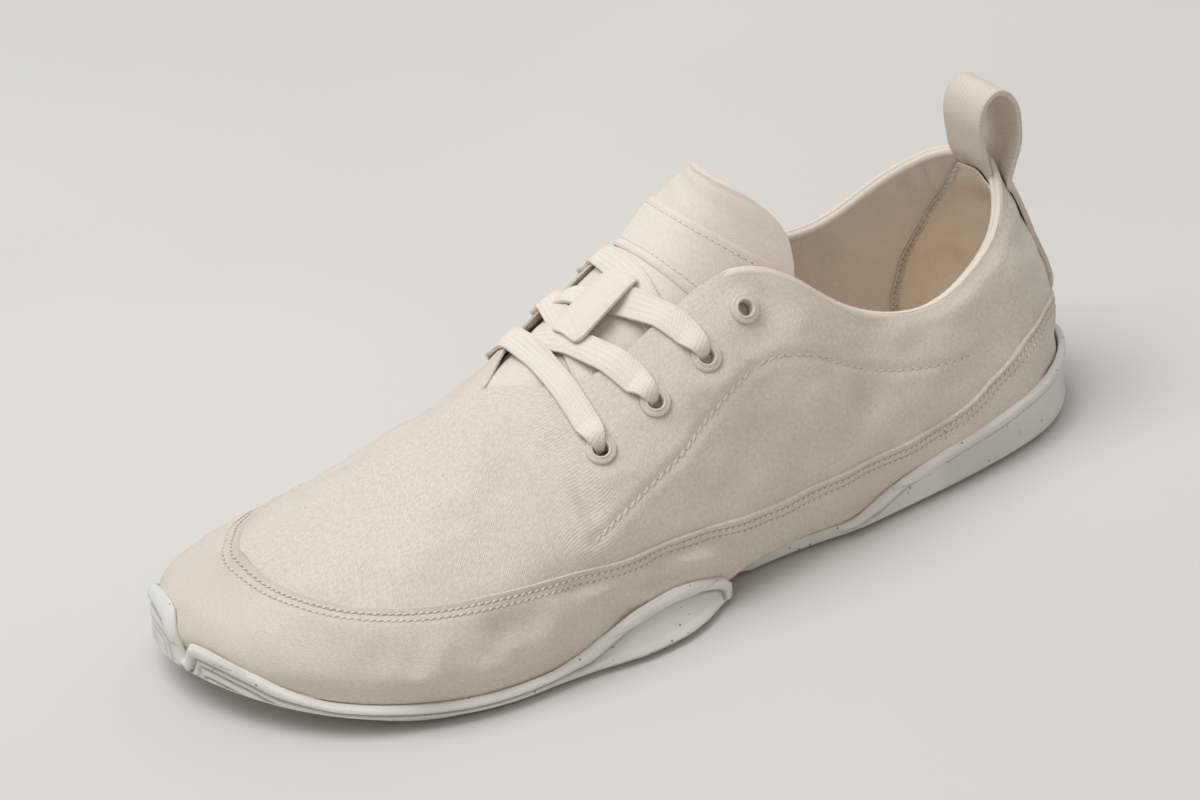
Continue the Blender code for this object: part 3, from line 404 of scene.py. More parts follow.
def eased_curve(places, values):
    places = np.asarray(places, float)
    values = np.asarray(values, float)
    steps = np.diff(places)
    slopes = np.diff(values) / steps
    tangents = np.zeros(len(values))
    before = slopes[:-1]
    after = slopes[1:]
    total = np.where(before * after > 0, before + after, 1.0)
    tangents[1:-1] = np.where(before * after > 0, 2 * before * after / total, 0.0)

    def at(place):
        place = np.clip(place, places[0], places[-1])
        row = np.clip(np.searchsorted(places, place, "right") - 1, 0, len(steps) - 1)
        part = (place - places[row]) / steps[row]
        leave = tangents[row] * steps[row]
        arrive = tangents[row + 1] * steps[row]
        return cubic_between(values[row], values[row + 1], leave, arrive, part)

    return at


def smooth_step(value, low=0.0, high=1.0):
    share = np.clip((np.asarray(value, float) - low) / (high - low), 0.0, 1.0)
    return share * share * (3 - 2 * share)


def unit(vectors):
    return vectors / np.linalg.norm(vectors, axis=-1, keepdims=True)


LAST_ROWS = LATERAL + MEDIAL[TOE - 1:0:-1]
LAST = closed_curve(LAST_ROWS)
RIDGE = LATERAL[THROAT:]
RIDGE_HEIGHT = np.polyfit([row.edge_x for row in RIDGE], [row.edge_z for row in RIDGE], 2)
RIDGE_SIDE = np.polyfit([row.edge_x for row in RIDGE], [row.edge_y for row in RIDGE], 2)


# %% Surface of the last
def station(around):
    around = np.asarray(around, float) % LOOP
    return np.minimum(around, LOOP - around)


def place_of(at, side):
    """Place round the foot of a station on the outer side, 1, or the inner side, -1."""
    return at if side > 0 else LOOP - at


def spring(x):
    toe = np.maximum(0.0, (x - TOE_SPRING_START) / (LENGTH - TOE_SPRING_START))
    heel = np.maximum(0.0, (HEEL_SPRING_END - x) / HEEL_SPRING_END)
    return TOE_SPRING * toe ** 2 + HEEL_SPRING * heel ** 2


def section(around):
    """Named columns of the last's table at any place round the foot."""
    return Section(*np.moveaxis(LAST(around), -1, 0))


def feather(around):
    along = unit(LAST(around + 0.05)[..., :2] - LAST(around - 0.05)[..., :2])
    outward = np.stack([-along[..., 1], along[..., 0]], -1)
    return LAST(around)[..., :2], outward


def last_point(around, share):
    around, share = np.broadcast_arrays(np.asarray(around, float), np.asarray(share, float))
    row = section(around)
    foot, outward = feather(around)
    front = station(around) >= THROAT
    ridge_x = (row.edge_x + section(-around).edge_x) / 2
    edge_x = np.where(front, ridge_x, row.edge_x)
    edge_y = np.where(front, np.polyval(RIDGE_SIDE, ridge_x), row.edge_y)
    edge_z = np.where(front, np.polyval(RIDGE_HEIGHT, ridge_x), row.edge_z)
    arc = np.minimum(np.radians(row.arc), math.pi / 2)
    turn = arc * share
    power = 2 / row.full
    inward = (1 - np.abs(np.cos(turn)) ** power) / (1 - np.abs(np.cos(arc)) ** power)
    rise = np.sign(turn) * np.abs(np.sin(turn)) ** power / np.sin(arc) ** power
    bulge = row.bulge * np.sin(math.pi * np.clip(share, 0.0, 1.0) ** 0.8)
    x = foot[..., 0] + (edge_x - foot[..., 0]) * inward + outward[..., 0] * bulge
    y = foot[..., 1] + (edge_y - foot[..., 1]) * inward + outward[..., 1] * bulge
    base = PLATE + GAP + FEATHER_ROUND + spring(foot[..., 0])
    follow = smooth_step(station(around), FACING_BACK, THROAT)
    fall = np.polyval(RIDGE_HEIGHT, x) - np.polyval(RIDGE_HEIGHT, edge_x)
    z = base + (edge_z - base + follow * fall) * rise
    return np.stack([x, y, z], -1)


def last_normal(around, share):
    share = np.minimum(share, 0.99)
    ahead = last_point(around + 0.02, share) - last_point(around - 0.02, share)
    up = last_point(around, share + 0.01) - last_point(around, share - 0.01)
    return unit(np.cross(up, ahead))


def on_last(around, share):
    """Points of the last with the directions that stand out of it there."""
    return last_point(around, share), last_normal(around, share)


def run_along(points):
    """Length of a line of points up to each of them."""
    return np.concatenate([[0], np.cumsum(np.linalg.norm(np.diff(points, axis=0), axis=1))])


def girth(around, share):
    """Length of the section's line from the feather edge up to a share of its height."""
    steps = np.linspace(0, 1, 17)
    around, share = np.broadcast_arrays(np.asarray(around, float), np.asarray(share, float))
    line = last_point(around[..., None], share[..., None] * steps)
    return np.linalg.norm(np.diff(line, axis=-2), axis=-1).sum(-1)


# %% Turn under the foot
def bare_edge(around):
    """1 where the sole's edge is cut back and shows the cloth's soft turn, 0 where rubber hides it."""
    at = station(around)
    front = np.where(np.asarray(around) % LOOP <= TOE, 7.4, 9.2)
    return smooth_step(at, 5.4, 6.1) * smooth_step(front - at, -0.2, 0.5)


def feather_round(around):
    return HIDDEN_ROUND + (FEATHER_ROUND - HIDDEN_ROUND) * bare_edge(around)


def side_foot(around):
    """Share of the wall's height where the cloth starts to turn under."""
    shares = np.linspace(-0.16, 0.0, 17)
    lines = last_point(around[:, None], shares)[..., 2]
    levels = PLATE + GAP + feather_round(around) + spring(feather(around)[0][:, 0])
    return np.array([np.interp(level, line, shares) for level, line in zip(levels, lines)])


def under_foot(around, depth):
    """Cloth turned under the foot: depth runs from 0 at the side to 1 at the margin's end."""
    margin = section(around).margin
    foot, outward = feather(around)
    radius = feather_round(around)
    turn = np.clip(depth / ROUND_SHARE, 0, 1) * math.pi / 2
    flat = np.clip((depth - ROUND_SHARE) / (1 - ROUND_SHARE), 0, 1)
    inset = radius * (1 - np.cos(turn)) + (margin - radius) * flat
    place = foot - outward * inset[..., None]
    z = PLATE + GAP + spring(place[..., 0]) + radius * (1 - np.sin(turn))
    normal = np.concatenate([outward * np.cos(turn)[..., None], -np.sin(turn)[..., None]], -1)
    return np.concatenate([place, z[..., None]], -1), normal


print("last ready", last_point(np.array([0.0, 16.0]), 1.0).round(1).tolist())

# %% [markdown]
# ## Hands on the mesh
#
# Most pieces start as a flat grid, like cloth on a table, and are then draped on the last: the flat
# place of each vertex says where it goes. These helpers add the grid, settle it, give it a cloth map
# in millimetres, merge the edges that meet, and apply a modifier.

# %% Mesh helpers
def only(piece):
    bpy.ops.object.select_all(action="DESELECT")
    piece.select_set(True)
    bpy.context.view_layer.objects.active = piece


def flat_grid(name, columns, rows):
    bpy.ops.object.select_all(action="DESELECT")
    bpy.ops.mesh.primitive_grid_add(x_subdivisions=columns, y_subdivisions=rows, size=1)
    piece = bpy.context.object
    piece.name = name
    piece.data.name = name
    flat = np.empty(len(piece.data.vertices) * 3)
    piece.data.vertices.foreach_get("co", flat)
    flat = flat.reshape(-1, 3) + 0.5
    return piece, flat[:, 0], flat[:, 1]


def built(name, points, faces):
    """Piece made of points in the last's millimetres and of faces that number them."""
    mesh = bpy.data.meshes.new(name)
    placed = (np.asarray(points) - LAST_MIDDLE) * MM
    mesh.from_pydata([tuple(point) for point in placed], [], faces)
    piece = bpy.data.objects.new(name, mesh)
    scene.collection.objects.link(piece)
    return piece


def settle(piece, points):
    placed = (points - LAST_MIDDLE) * MM
    piece.data.vertices.foreach_set("co", placed.ravel())
    piece.data.update()


def cloth_map(piece, across, along):
    corners = np.empty(len(piece.data.loops), int)
    piece.data.loops.foreach_get("vertex_index", corners)
    spots = np.stack([across[corners], along[corners]], -1)
    piece.data.uv_layers["UVMap"].data.foreach_set("uv", spots.ravel())


def shade_map(piece, shade):
    layer = piece.data.attributes.new("shade", "FLOAT", "POINT")
    layer.data.foreach_set("value", np.clip(shade, 0, 1).astype(np.float32))


def drape(piece, points, across, along, shade):
    """Settle a piece and give it its cloth map in millimetres and its shade."""
    settle(piece, points)
    cloth_map(piece, across, along)
    shade_map(piece, shade)


def points_of(piece):
    flat = np.empty(len(piece.data.vertices) * 3)
    piece.data.vertices.foreach_get("co", flat)
    return flat.reshape(-1, 3) / MM + LAST_MIDDLE


# %% Mesh editing
def edit(piece, step, **settings):
    """One step of mesh editing on the whole of a piece."""
    only(piece)
    bpy.ops.object.mode_set(mode="EDIT")
    bpy.ops.mesh.select_all(action="SELECT")
    step(**settings)
    bpy.ops.object.mode_set(mode="OBJECT")


def merge(piece, distance=0.00002):
    edit(piece, bpy.ops.mesh.remove_doubles, threshold=distance)


def turn_outward(piece):
    edit(piece, bpy.ops.mesh.normals_make_consistent, inside=False)


def face_along(piece, direction):
    """Flip an open sheet if its faces look away from a direction given for each vertex."""
    normals = np.empty(len(piece.data.vertices) * 3)
    piece.data.vertices.foreach_get("normal", normals)
    if (normals.reshape(-1, 3) * direction).sum() < 0:
        edit(piece, bpy.ops.mesh.flip_normals)


def change(piece, kind, **settings):
    only(piece)
    modifier = piece.modifiers.new(kind.lower(), kind)
    for key, value in settings.items():
        setattr(modifier, key, value)
    bpy.ops.object.modifier_apply(modifier=modifier.name)


def delete_faces(piece, chosen):
    only(piece)
    bpy.ops.object.mode_set(mode="EDIT")
    bpy.ops.mesh.select_mode(type="FACE")
    bpy.ops.mesh.select_all(action="DESELECT")
    bpy.ops.object.mode_set(mode="OBJECT")
    piece.data.polygons.foreach_set("select", chosen)
    bpy.ops.object.mode_set(mode="EDIT")
    bpy.ops.mesh.delete(type="FACE")
    bpy.ops.object.mode_set(mode="OBJECT")


def dress(piece, finish, slot, *nodes, angle=50):
    only(piece)
    bpy.ops.object.shade_smooth_by_angle(angle=math.radians(angle))
    piece.data.materials.clear()
    piece.data.materials.append(finish)
    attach(piece, "root")
    if nodes:
        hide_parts(*nodes)
    sides = sum(len(face.vertices) - 2 for face in piece.data.polygons)
    print(piece.name, sides, "triangles")
    return piece


def tree_of(piece):
    return BVHTree.FromObject(piece, bpy.context.evaluated_depsgraph_get())


# %% [markdown]
# ## Creases
#
# Worn cloth bends where the foot bends. Each main crease is given as a line on the last from
# one place and share to another, with a width and a depth in millimetres: negative for a trough and
# positive for a ridge. A slow waviness keeps the panels between them from looking moulded.

# %% Table of creases
Crease = namedtuple("Crease", "around share to_around to_share width depth")
CREASES = [Crease(*row) for row in (
    (8.75, 0.22, 7.85, 0.11, 2.6, -0.9),
    (8.40, 0.155, 7.60, 0.08, 2.0, 1.2),
    (8.75, 0.165, 8.20, 0.115, 1.6, -0.7),
    (10.2, 0.235, 9.50, 0.20, 1.8, -0.6),
    (9.90, 0.20, 9.30, 0.165, 2.0, 0.6),
    (7.90, 0.17, 7.10, 0.06, 2.6, -0.7),
    (10.9, 0.24, 11.3, 0.05, 3.6, -0.5),
    (11.6, 0.27, 12.0, 0.06, 3.4, 0.5),
    (12.3, 0.31, 12.7, 0.10, 3.2, -0.5),
    (10.2, 0.22, 10.6, 0.05, 3.4, 0.45),
    (9.60, 0.24, 9.30, 0.08, 3.0, -0.45),
    (9.75, 0.62, 9.62, 0.36, 2.0, 0.45),
    (9.55, 0.62, 9.45, 0.40, 2.6, -0.4),
    (9.95, 0.85, 10.7, 0.50, 7.0, -0.5),
    (7.20, 0.46, 5.70, 0.30, 8.0, -0.8),
    (6.40, 0.60, 5.10, 0.42, 7.0, 0.6),
    (5.30, 0.55, 4.30, 0.34, 6.0, -0.6),
    (8.20, 0.42, 7.40, 0.30, 6.0, 0.5),
    (3.70, 0.80, 3.10, 0.55, 5.0, -0.5),
    (2.60, 0.85, 2.30, 0.60, 4.0, 0.45),
    (6.60, 0.92, 6.10, 0.76, 4.5, -0.4),
    (23.2, 0.24, 24.1, 0.10, 3.2, -0.6),
    (21.2, 0.22, 20.7, 0.06, 3.4, 0.5),
    (20.1, 0.28, 19.7, 0.08, 3.2, -0.5),
    (24.8, 0.50, 26.4, 0.32, 8.0, -0.7),
    (25.8, 0.62, 27.0, 0.44, 7.0, 0.6),
    (26.8, 0.55, 27.8, 0.34, 6.0, -0.6),
    (22.1, 0.80, 21.3, 0.50, 7.0, -0.5),
    (28.4, 0.80, 28.9, 0.55, 5.0, -0.5),
    (8.95, 0.12, 8.10, 0.06, 2.0, -0.9),
    (11.1, 0.22, 10.2, 0.17, 4.0, -0.5),
    (11.05, 0.27, 10.85, 0.11, 1.6, -0.4),
    (4.90, 0.66, 5.05, 0.42, 5.0, -0.5),
    (5.95, 0.58, 5.70, 0.44, 6.0, 0.5),
    (10.8, 0.11, 10.75, 0.03, 1.8, -0.5),
    (11.2, 0.11, 11.25, 0.03, 1.8, 0.5),
    (11.6, 0.10, 11.65, 0.03, 1.8, -0.5),
    (12.0, 0.11, 12.05, 0.03, 1.8, 0.45),
)]
FACING_LINE = [
    (9.55, 0.36), (9.05, 0.43), (8.55, 0.47), (8.05, 0.495), (7.7, 0.53), (7.2, 0.585), (6.8, 0.635),
]
QUARTER_LINE = [
    (6.72, 0.645), (6.4, 0.67), (6.1, 0.687), (5.6, 0.70), (5.1, 0.69), (4.55, 0.67), (4.15, 0.65),
    (3.6, 0.60),
]
Eyelet = namedtuple("Eyelet", "number at share")
EYELETS = [Eyelet(1, 9.05, 0.69), Eyelet(2, 8.28, 0.735), Eyelet(3, 7.50, 0.74), Eyelet(4, 6.80, 0.845)]
SIDES = (("lateral", 1), ("medial", -1))
print(len(CREASES), "creases and", len(EYELETS), "eyelets a side")


# %% Relief of the cloth
def eyelet_spot(number, side):
    eyelet = EYELETS[number - 1]
    around = np.array(place_of(eyelet.at, side))
    return on_last(around, eyelet.share)


def gaps_to(line, points):
    """Distance of each point to each straight stretch of a line, and its place along that stretch."""
    along = np.diff(line, axis=0)
    away = points[:, None] - line[:-1]
    shares = np.clip((away * along).sum(-1) / np.maximum((along ** 2).sum(-1), 1e-9), 0, 1)
    return np.linalg.norm(away - shares[..., None] * along, axis=-1), shares


def away_from(line, points):
    """Distance of each point to a line of points, and how far along the line it lies."""
    gaps, shares = gaps_to(line, points)
    rows = np.arange(len(points))
    nearest = gaps.argmin(1)
    return gaps[rows, nearest], (nearest + shares[rows, nearest]) / (len(line) - 1)


def rumple(points):
    lift = np.empty(len(points))
    for number, (x, y, z) in enumerate(points):
        broad = noise.noise(Vector((x / 30 + z / 60, y / 30, z / 20)))
        middle = noise.noise(Vector((x / 14 + 7, y / 14 + z / 20, z / 9)))
        small = noise.noise(Vector((x / 6.5, y / 6.5 + 3, z / 5)))
        lift[number] = 1.5 * broad + 0.9 * middle + 0.24 * small
    return lift


def relief(points):
    lift = rumple(points)
    for crease in CREASES:
        share = np.linspace(0, 1, 9)
        around = crease.around + (crease.to_around - crease.around) * share
        line = last_point(around, crease.share + (crease.to_share - crease.share) * share)
        gap, run = away_from(line, points)
        fade = np.sin(math.pi * np.clip(run, 0.02, 0.98)) ** 0.6
        lift += 2.0 * crease.depth * np.exp(-(gap / crease.width) ** 2) * fade
    for side in (1, -1):
        for table, depth in ((FACING_LINE, 0.42), (QUARTER_LINE, 0.26)):
            rows = np.array(table)
            line = last_point(place_of(rows[:, 0], side), rows[:, 1])
            gap, run = away_from(line, points)
            lift += depth * (0.5 * np.exp(-((gap - 2.8) / 1.5) ** 2) - np.exp(-(gap / 0.9) ** 2))
        for eyelet in EYELETS:
            spot, normal = eyelet_spot(eyelet.number, side)
            gap = np.linalg.norm(points - spot, axis=1)
            lift *= 1 - np.exp(-(gap / 6.0) ** 4)
    tip = np.linalg.norm(points - last_point(np.array(float(TOE)), 1.0), axis=1)
    return lift * (1 - np.exp(-(tip / 9.0) ** 2))


# %% [markdown]
# ## Canvas upper
#
# The vamp and quarters are one sheet of twill that runs from the lower band to the collar, the facings
# and the ridge of the vamp. Both sides share the ridge, so the grid's edges are merged there. Faces
# are removed where the eyelets go through, and a Solidify modifier then thickens the sheet inwards.

# %% Vamp and quarters
EYELET_HOLE = 2.7
CANVAS_WALL = 2.0
BAND_OVERLAP = 0.03
HEEL_STATION = 3.0
HEEL_PACE = 14.6


def band_top(around):
    return section(around).band


def open_eyelets(piece, numbers):
    centres = np.array([face.center for face in piece.data.polygons]) / MM + LAST_MIDDLE
    chosen = np.zeros(len(centres), bool)
    for side in (1, -1):
        for number in numbers:
            spot, normal = eyelet_spot(number, side)
            away = centres - spot
            away = away - (away @ normal)[:, None] * normal
            near = np.linalg.norm(centres - spot, axis=1) < 8
            chosen |= near & (np.linalg.norm(away, axis=1) < EYELET_HOLE)
    delete_faces(piece, chosen)


upper, across, up = flat_grid("upper_canvas", 384, 80)
around = LOOP * across
low = band_top(around) - BAND_OVERLAP
level = low + (1 - low) * up
points, normals = on_last(around, level)
near_rim = smooth_step(level, 0.9, 1.0) * smooth_step(-station(around), -7.6, -7.0)
draped = points + normals * (relief(points) * (1 - 0.9 * near_rim))[:, None]
at_facing = smooth_step(station(around), 7.0, 7.5) * smooth_step(-station(around), -10.02, -9.9)
thin_edge = upper.vertex_groups.new(name="wall")
for number, share in enumerate(1 - 0.7 * at_facing * smooth_step(level, 0.90, 0.99)):
    thin_edge.add([number], float(share), "REPLACE")
side = np.where(around <= TOE, 1.0, -1.0)
behind = np.maximum(station(around), 9.0)
ridge_girth = girth(np.where(side > 0, behind, LOOP - behind), 1.0)
rear = np.maximum(HEEL_STATION - station(around), 0.0)
start_x = last_point(np.where(side > 0, HEEL_STATION, LOOP - HEEL_STATION), level)[:, 0]
along_foot = np.where(rear > 0, start_x - HEEL_PACE * rear, points[:, 0])
edge_shade = 0.10 * np.exp(-(level - low - BAND_OVERLAP) * 30)
drape(upper, draped, along_foot, side * (girth(around, level) - ridge_girth), edge_shade)
face_along(upper, normals)
merge(upper)
open_eyelets(upper, (1, 2, 3, 4))
change(upper, "SOLIDIFY", thickness=CANVAS_WALL * MM, offset=-1.0, vertex_group="wall")
dress(upper, canvas_finish, "canvas", "upper")

# %% [markdown]
# ## Lower band
#
# A second strip of twill wraps the foot below the vamp. Its top edge is folded in, which stands up as
# a thin ridge, and two rows of stitches run below the fold. At the bottom it turns under the foot,
# where the arch cut of the sole leaves it in sight.

# %% Band with folded edge
BAND_ROWS = 44
UNDER_SHARE = 0.3
STITCH_ROWS = (2.1, 4.0)
BAND_CLOTH = 0.8
CLOTH_GIRTH = 690
CLOTH_HEIGHT = 78


def above_rubber(points):
    """0 where the rubber covers the cloth, 1 well above it."""
    return smooth_step(points[:, 2] - spring(points[:, 0]), PLATE + 2.0, PLATE + 9.0)


band, across, up = flat_grid("lower_band", 384, BAND_ROWS)
around = LOOP * across
ROUND = np.linspace(0, LOOP, 385)
WALL_HEIGHTS = girth(ROUND, 1.0)
height = np.interp(around, ROUND, WALL_HEIGHTS)
top = band_top(around)
bottom = np.interp(around, ROUND, side_foot(ROUND))
side = np.clip((up - UNDER_SHARE) / (1 - UNDER_SHARE), 0, 1)
level = bottom + (top - bottom) * (1 - (1 - side) ** 1.5)
below_top = (top - level) * height
side_points, side_normals = on_last(around, level)
depth = np.clip(1 - up / UNDER_SHARE, 0, 1)
under_points, under_normals = under_foot(around, depth)
on_side = (up >= UNDER_SHARE)[:, None]
points = np.where(on_side, side_points, under_points)
normals = np.where(on_side, side_normals, under_normals)
out = BAND_STEP * (0.72 + 0.28 * smooth_step(below_top, 1.0, 7.0))
out += 0.26 * np.exp(-((below_top - 0.6) / 0.45) ** 2)
out -= (BAND_STEP + 0.3) * np.exp(-(below_top / 0.25) ** 2)
for row in STITCH_ROWS:
    out -= 0.24 * np.exp(-((below_top - row) / 0.45) ** 2)
lifted = relief(side_points)
turned = BAND_STEP * (1 - np.clip(depth / ROUND_SHARE, 0, 1))
out = np.where(on_side[:, 0], out + lifted * (0.15 + 0.85 * above_rubber(side_points)), turned)
# Painted shade below the folded top edge and on the part turned under the foot.
drape(band, points + normals * out[:, None], CLOTH_GIRTH * across + 0.37,
      CLOTH_HEIGHT * level + 40 * np.minimum(up - UNDER_SHARE, 0),
      0.16 * np.exp(-below_top / 0.5) + 0.05 * (1 - side))
face_along(band, normals)
merge(band)
change(band, "SOLIDIFY", thickness=BAND_CLOTH * MM, offset=-1.0)
dress(band, canvas_finish, "canvas")

# %% [markdown]
# ## Lining
#
# Inside there is a thin lining, coloured paler than the canvas, and a warmer counter patch at the heel
# whose edge is sewn down with a zigzag. Both colours are lightened as painted light, since little lamp
# light reaches inside. The lining keeps soft upright folds near the collar.

# %% Lining and heel counter
LINING_INSET = 2.5
COUNTER_INSET = LINING_INSET + 0.75
COUNTER_CLOTH = 0.55
COUNTER_MAP = (140, 70)
COUNTER_EDGE = eased_curve(
    (0.0, 0.12, 0.31, 0.52, 0.71, 0.88, 1.0), (3.1, 3.05, 2.9, 2.6, 2.05, 1.3, 0.8))

lining, across, up = flat_grid("lining", 220, 40)
around = LOOP * across
level = 0.02 + 0.975 * up
points, normals = on_last(around, level)
folds = 0.9 + 0.9 * np.sin(around * 11.0 + 2 * np.sin(around * 2.3) + 2.5 * level)
folds = folds * smooth_step(level, 0.3, 0.75) * (1 - 0.8 * smooth_step(level, 0.9, 1.0))
folds = folds * smooth_step(station(around) - COUNTER_EDGE(level), 0.02, 0.35)
folds = folds * smooth_step(-station(around), -7.5, -5.5)
near_rim = smooth_step(level, 0.9, 1.0)
depth = LINING_INSET + folds - relief(points) * (1 - 0.9 * near_rim)
drape(lining, points - normals * depth[:, None], CLOTH_GIRTH * across, CLOTH_HEIGHT * level, 0.0 * level)
face_along(lining, -normals)
merge(lining)
open_eyelets(lining, (1, 2, 3))
dress(lining, lining_finish, "canvas")

counter, across, up = flat_grid("heel_counter", 80, 50)
level = 0.03 + 0.91 * up
around = (2 * across - 1) * COUNTER_EDGE(level)
points, normals = on_last(around, level)
tape_bulge = 1.75 * np.exp(-(around / 0.9) ** 4) * smooth_step(level, 0.70, 0.84)
depth = COUNTER_INSET + tape_bulge - relief(points)
# Painted shade along the counter's two side edges.
drape(counter, points - normals * depth[:, None], COUNTER_MAP[0] * across, COUNTER_MAP[1] * level,
      0.12 * np.abs(2 * across - 1) ** 14)
face_along(counter, -normals)
change(counter, "SOLIDIFY", thickness=COUNTER_CLOTH * MM, offset=-1.0)
dress(counter, heel_finish, "canvas")

# %% [markdown]
# ## Collar rim
#
# The canvas is rolled over a soft cord at the collar, so the rim is a round edge three and a half
# millimetres thick. It is a tube swept along the top of the quarters, with a fine groove where canvas
# and lining meet.

# %% Rolled collar
RIM_END = 7.35
RIM_RADIUS = 1.75
RIM_MAP = (300, 12)
RIM_GROOVE = 1.5
rim, across, up = flat_grid("collar_rim", 300, 32)
around = RIM_END * (2 * across - 1)
top = last_point(around, 1.0)
normal = last_normal(around, 0.97)
rise = unit(last_point(around, 1.0) - last_point(around, 0.96))
turn = math.tau * up
groove = 1 - 0.34 * np.exp(-((turn - RIM_GROOVE) / 0.2) ** 2)
taper = smooth_step(RIM_END - np.abs(around), 0.0, 0.5) * 0.55 + 0.45
radius = RIM_RADIUS * groove * taper
out = (radius * np.cos(turn) - 1.6)[:, None]
lift = (radius * np.sin(turn) - 0.9)[:, None]
# Painted shade in the groove where canvas and lining meet.
drape(rim, top + normal * out + rise * lift, RIM_MAP[0] * across, RIM_MAP[1] * up,
      0.35 * np.exp(-((turn - RIM_GROOVE) / 0.16) ** 2))
merge(rim)
turn_outward(rim)
dress(rim, tongue_finish, "canvas")

# %% [markdown]
# ## Outsole
#
# The outsole is one thin moulded sheet. Its outline follows the last, cut back at the arch and at the
# back of the heel, with a slot that opens at the outer side. The rim laps up over the cloth at toe,
# wing and heel, drops at the toe notch and carries a bead. Each column of the wall runs from the
# underside over the rim.

# %% Rubber tables
Rubber = namedtuple("Rubber", "at reach rim")
RUBBER_LATERAL = [Rubber(*row) for row in (
    (0.00, -7.5, 0.0), (0.26, -7.0, 0.0), (0.36, 2.2, 0.0), (0.50, 2.6, 9.0),
    (1.00, 2.8, 13.4), (2.00, 2.8, 13.4), (3.00, 2.8, 12.2), (3.50, 2.9, 10.4),
    (4.00, 3.0, 9.0), (4.50, 2.8, 7.0), (4.80, 2.6, 4.7), (5.08, 2.4, 2.1),
    (5.35, 1.6, 0.3), (5.70, -0.4, 0.0), (6.20, -2.4, 0.0), (6.85, -3.5, 0.0),
    (7.48, 1.6, 0.9), (7.52, 2.0, 1.9), (7.58, 2.6, 3.0), (7.70, 3.6, 4.4),
    (7.85, 4.8, 5.6), (8.10, 6.6, 7.0), (8.50, 8.0, 8.2), (9.00, 7.6, 7.7),
    (9.50, 5.6, 5.4), (10.0, 3.4, 2.3), (10.5, 2.4, 0.6), (11.5, 2.4, 0.3),
    (13.0, 2.4, 0.4), (13.6, 2.6, 1.7), (14.3, 2.8, 4.7), (15.0, 2.8, 6.0),
    (15.2, 2.8, 5.9), (15.30, 2.8, 5.5), (15.36, 2.8, 4.4), (15.40, 2.7, 2.4),
    (15.43, 2.6, 0.3), (15.48, 2.6, 0.3), (15.52, 2.7, 2.2), (15.57, 2.8, 4.4),
    (15.63, 2.8, 6.0), (15.75, 2.8, 7.6), (15.88, 2.8, 8.8), (16.0, 2.8, 9.4),
)]
RUBBER_MEDIAL = [Rubber(*row) for row in (
    (0.00, -7.5, 0.0), (0.26, -7.0, 0.0), (0.36, 2.2, 0.0), (0.50, 2.6, 9.0),
    (1.00, 2.8, 12.5), (2.00, 2.8, 11.5), (3.00, 2.8, 9.5), (4.00, 2.2, 4.0),
    (4.40, 0.0, 0.0), (4.80, -4.5, 0.0), (5.40, -13.0, 0.0), (5.95, -19.5, 0.0),
    (6.60, -22.5, 0.0), (7.45, -20.5, 0.0), (8.00, -17.0, 0.0), (8.40, -11.0, 0.0),
    (8.80, -3.5, 0.0), (9.20, 1.0, 0.0), (9.70, 2.5, 0.6), (11.0, 2.5, 1.0),
    (12.5, 2.5, 1.2), (13.7, 2.6, 2.6), (14.2, 2.7, 4.6), (14.7, 2.8, 7.3),
    (15.1, 2.8, 9.1), (15.5, 2.8, 9.8), (15.8, 2.8, 9.8), (16.0, 2.8, 9.4),
)]
EDGE_ROUND = 1.2
RIM_START = 0.25
SLOT_REAR_MOUTH = 6.85
SLOT_FRONT_MOUTH = 7.48
WING_END = 10.3
TOE_LINES = (13.2, 18.8)
SlotCorner = namedtuple("SlotCorner", "x y rounding")
SLOT = [SlotCorner(*row) for row in (
    (204.5, 12.3, 2.0), (217.7, -5.6, 2.5), (226.9, 0.4, 2.5),
    (214.3, 19.6, 2.5), (207.6, 15.1, 1.5), (145.5, 34.6, 5.0),
)]


def rubber_curve(column):
    """Curve round the shoe through one column of the two tables."""
    lateral, medial = [eased_curve([row.at for row in table], [getattr(row, column) for row in table])
                       for table in (RUBBER_LATERAL, RUBBER_MEDIAL)]

    def at(around):
        around = np.asarray(around, float) % LOOP
        return np.where(around <= TOE, lateral(around), medial(LOOP - around))

    return at


REACH = rubber_curve("reach")
RIM = rubber_curve("rim")


# %% Outline with slot
def edge_point(around):
    foot, outward = feather(around)
    return foot + outward * REACH(around)[..., None]


def slot_path():
    corners = [edge_point(np.array(SLOT_REAR_MOUTH))]
    corners += [np.array([row.x, row.y]) for row in SLOT]
    corners.append(edge_point(np.array(SLOT_FRONT_MOUTH)))
    path = []
    for number, row in enumerate(SLOT, 1):
        here = corners[number]
        enter = here + unit(corners[number - 1] - here) * row.rounding
        leave = here + unit(corners[number + 1] - here) * row.rounding
        before = path[-1] if path else corners[0]
        steps = int(np.linalg.norm(enter - before) / 4.0)
        path += [before + (enter - before) * step / (steps + 1) for step in range(1, steps + 1)]
        for share in np.linspace(0, 1, 5):
            path.append(enter * (1 - share) ** 2 + 2 * here * share * (1 - share) + leave * share ** 2)
    return path


def outline_places():
    places = list(np.arange(0, LOOP, 0.055))
    for low, high, step in ((0.10, 0.75, 0.025), (LOOP - 0.75, LOOP - 0.10, 0.025),
                            (15.2, 17.0, 0.03), (SLOT_FRONT_MOUTH, 8.1, 0.025)):
        places = [place for place in places if not low - 0.02 < place < high + 0.02]
        places += list(np.arange(low, high, step))
    places = [place for place in places if not SLOT_REAR_MOUTH - 0.03 < place < SLOT_FRONT_MOUTH + 0.01]
    return sorted(places + [SLOT_REAR_MOUTH, SLOT_FRONT_MOUTH])


def distance_to(point, polygon):
    closed = np.concatenate([polygon[-1:], polygon])
    return float(gaps_to(closed, point[None])[0].min())


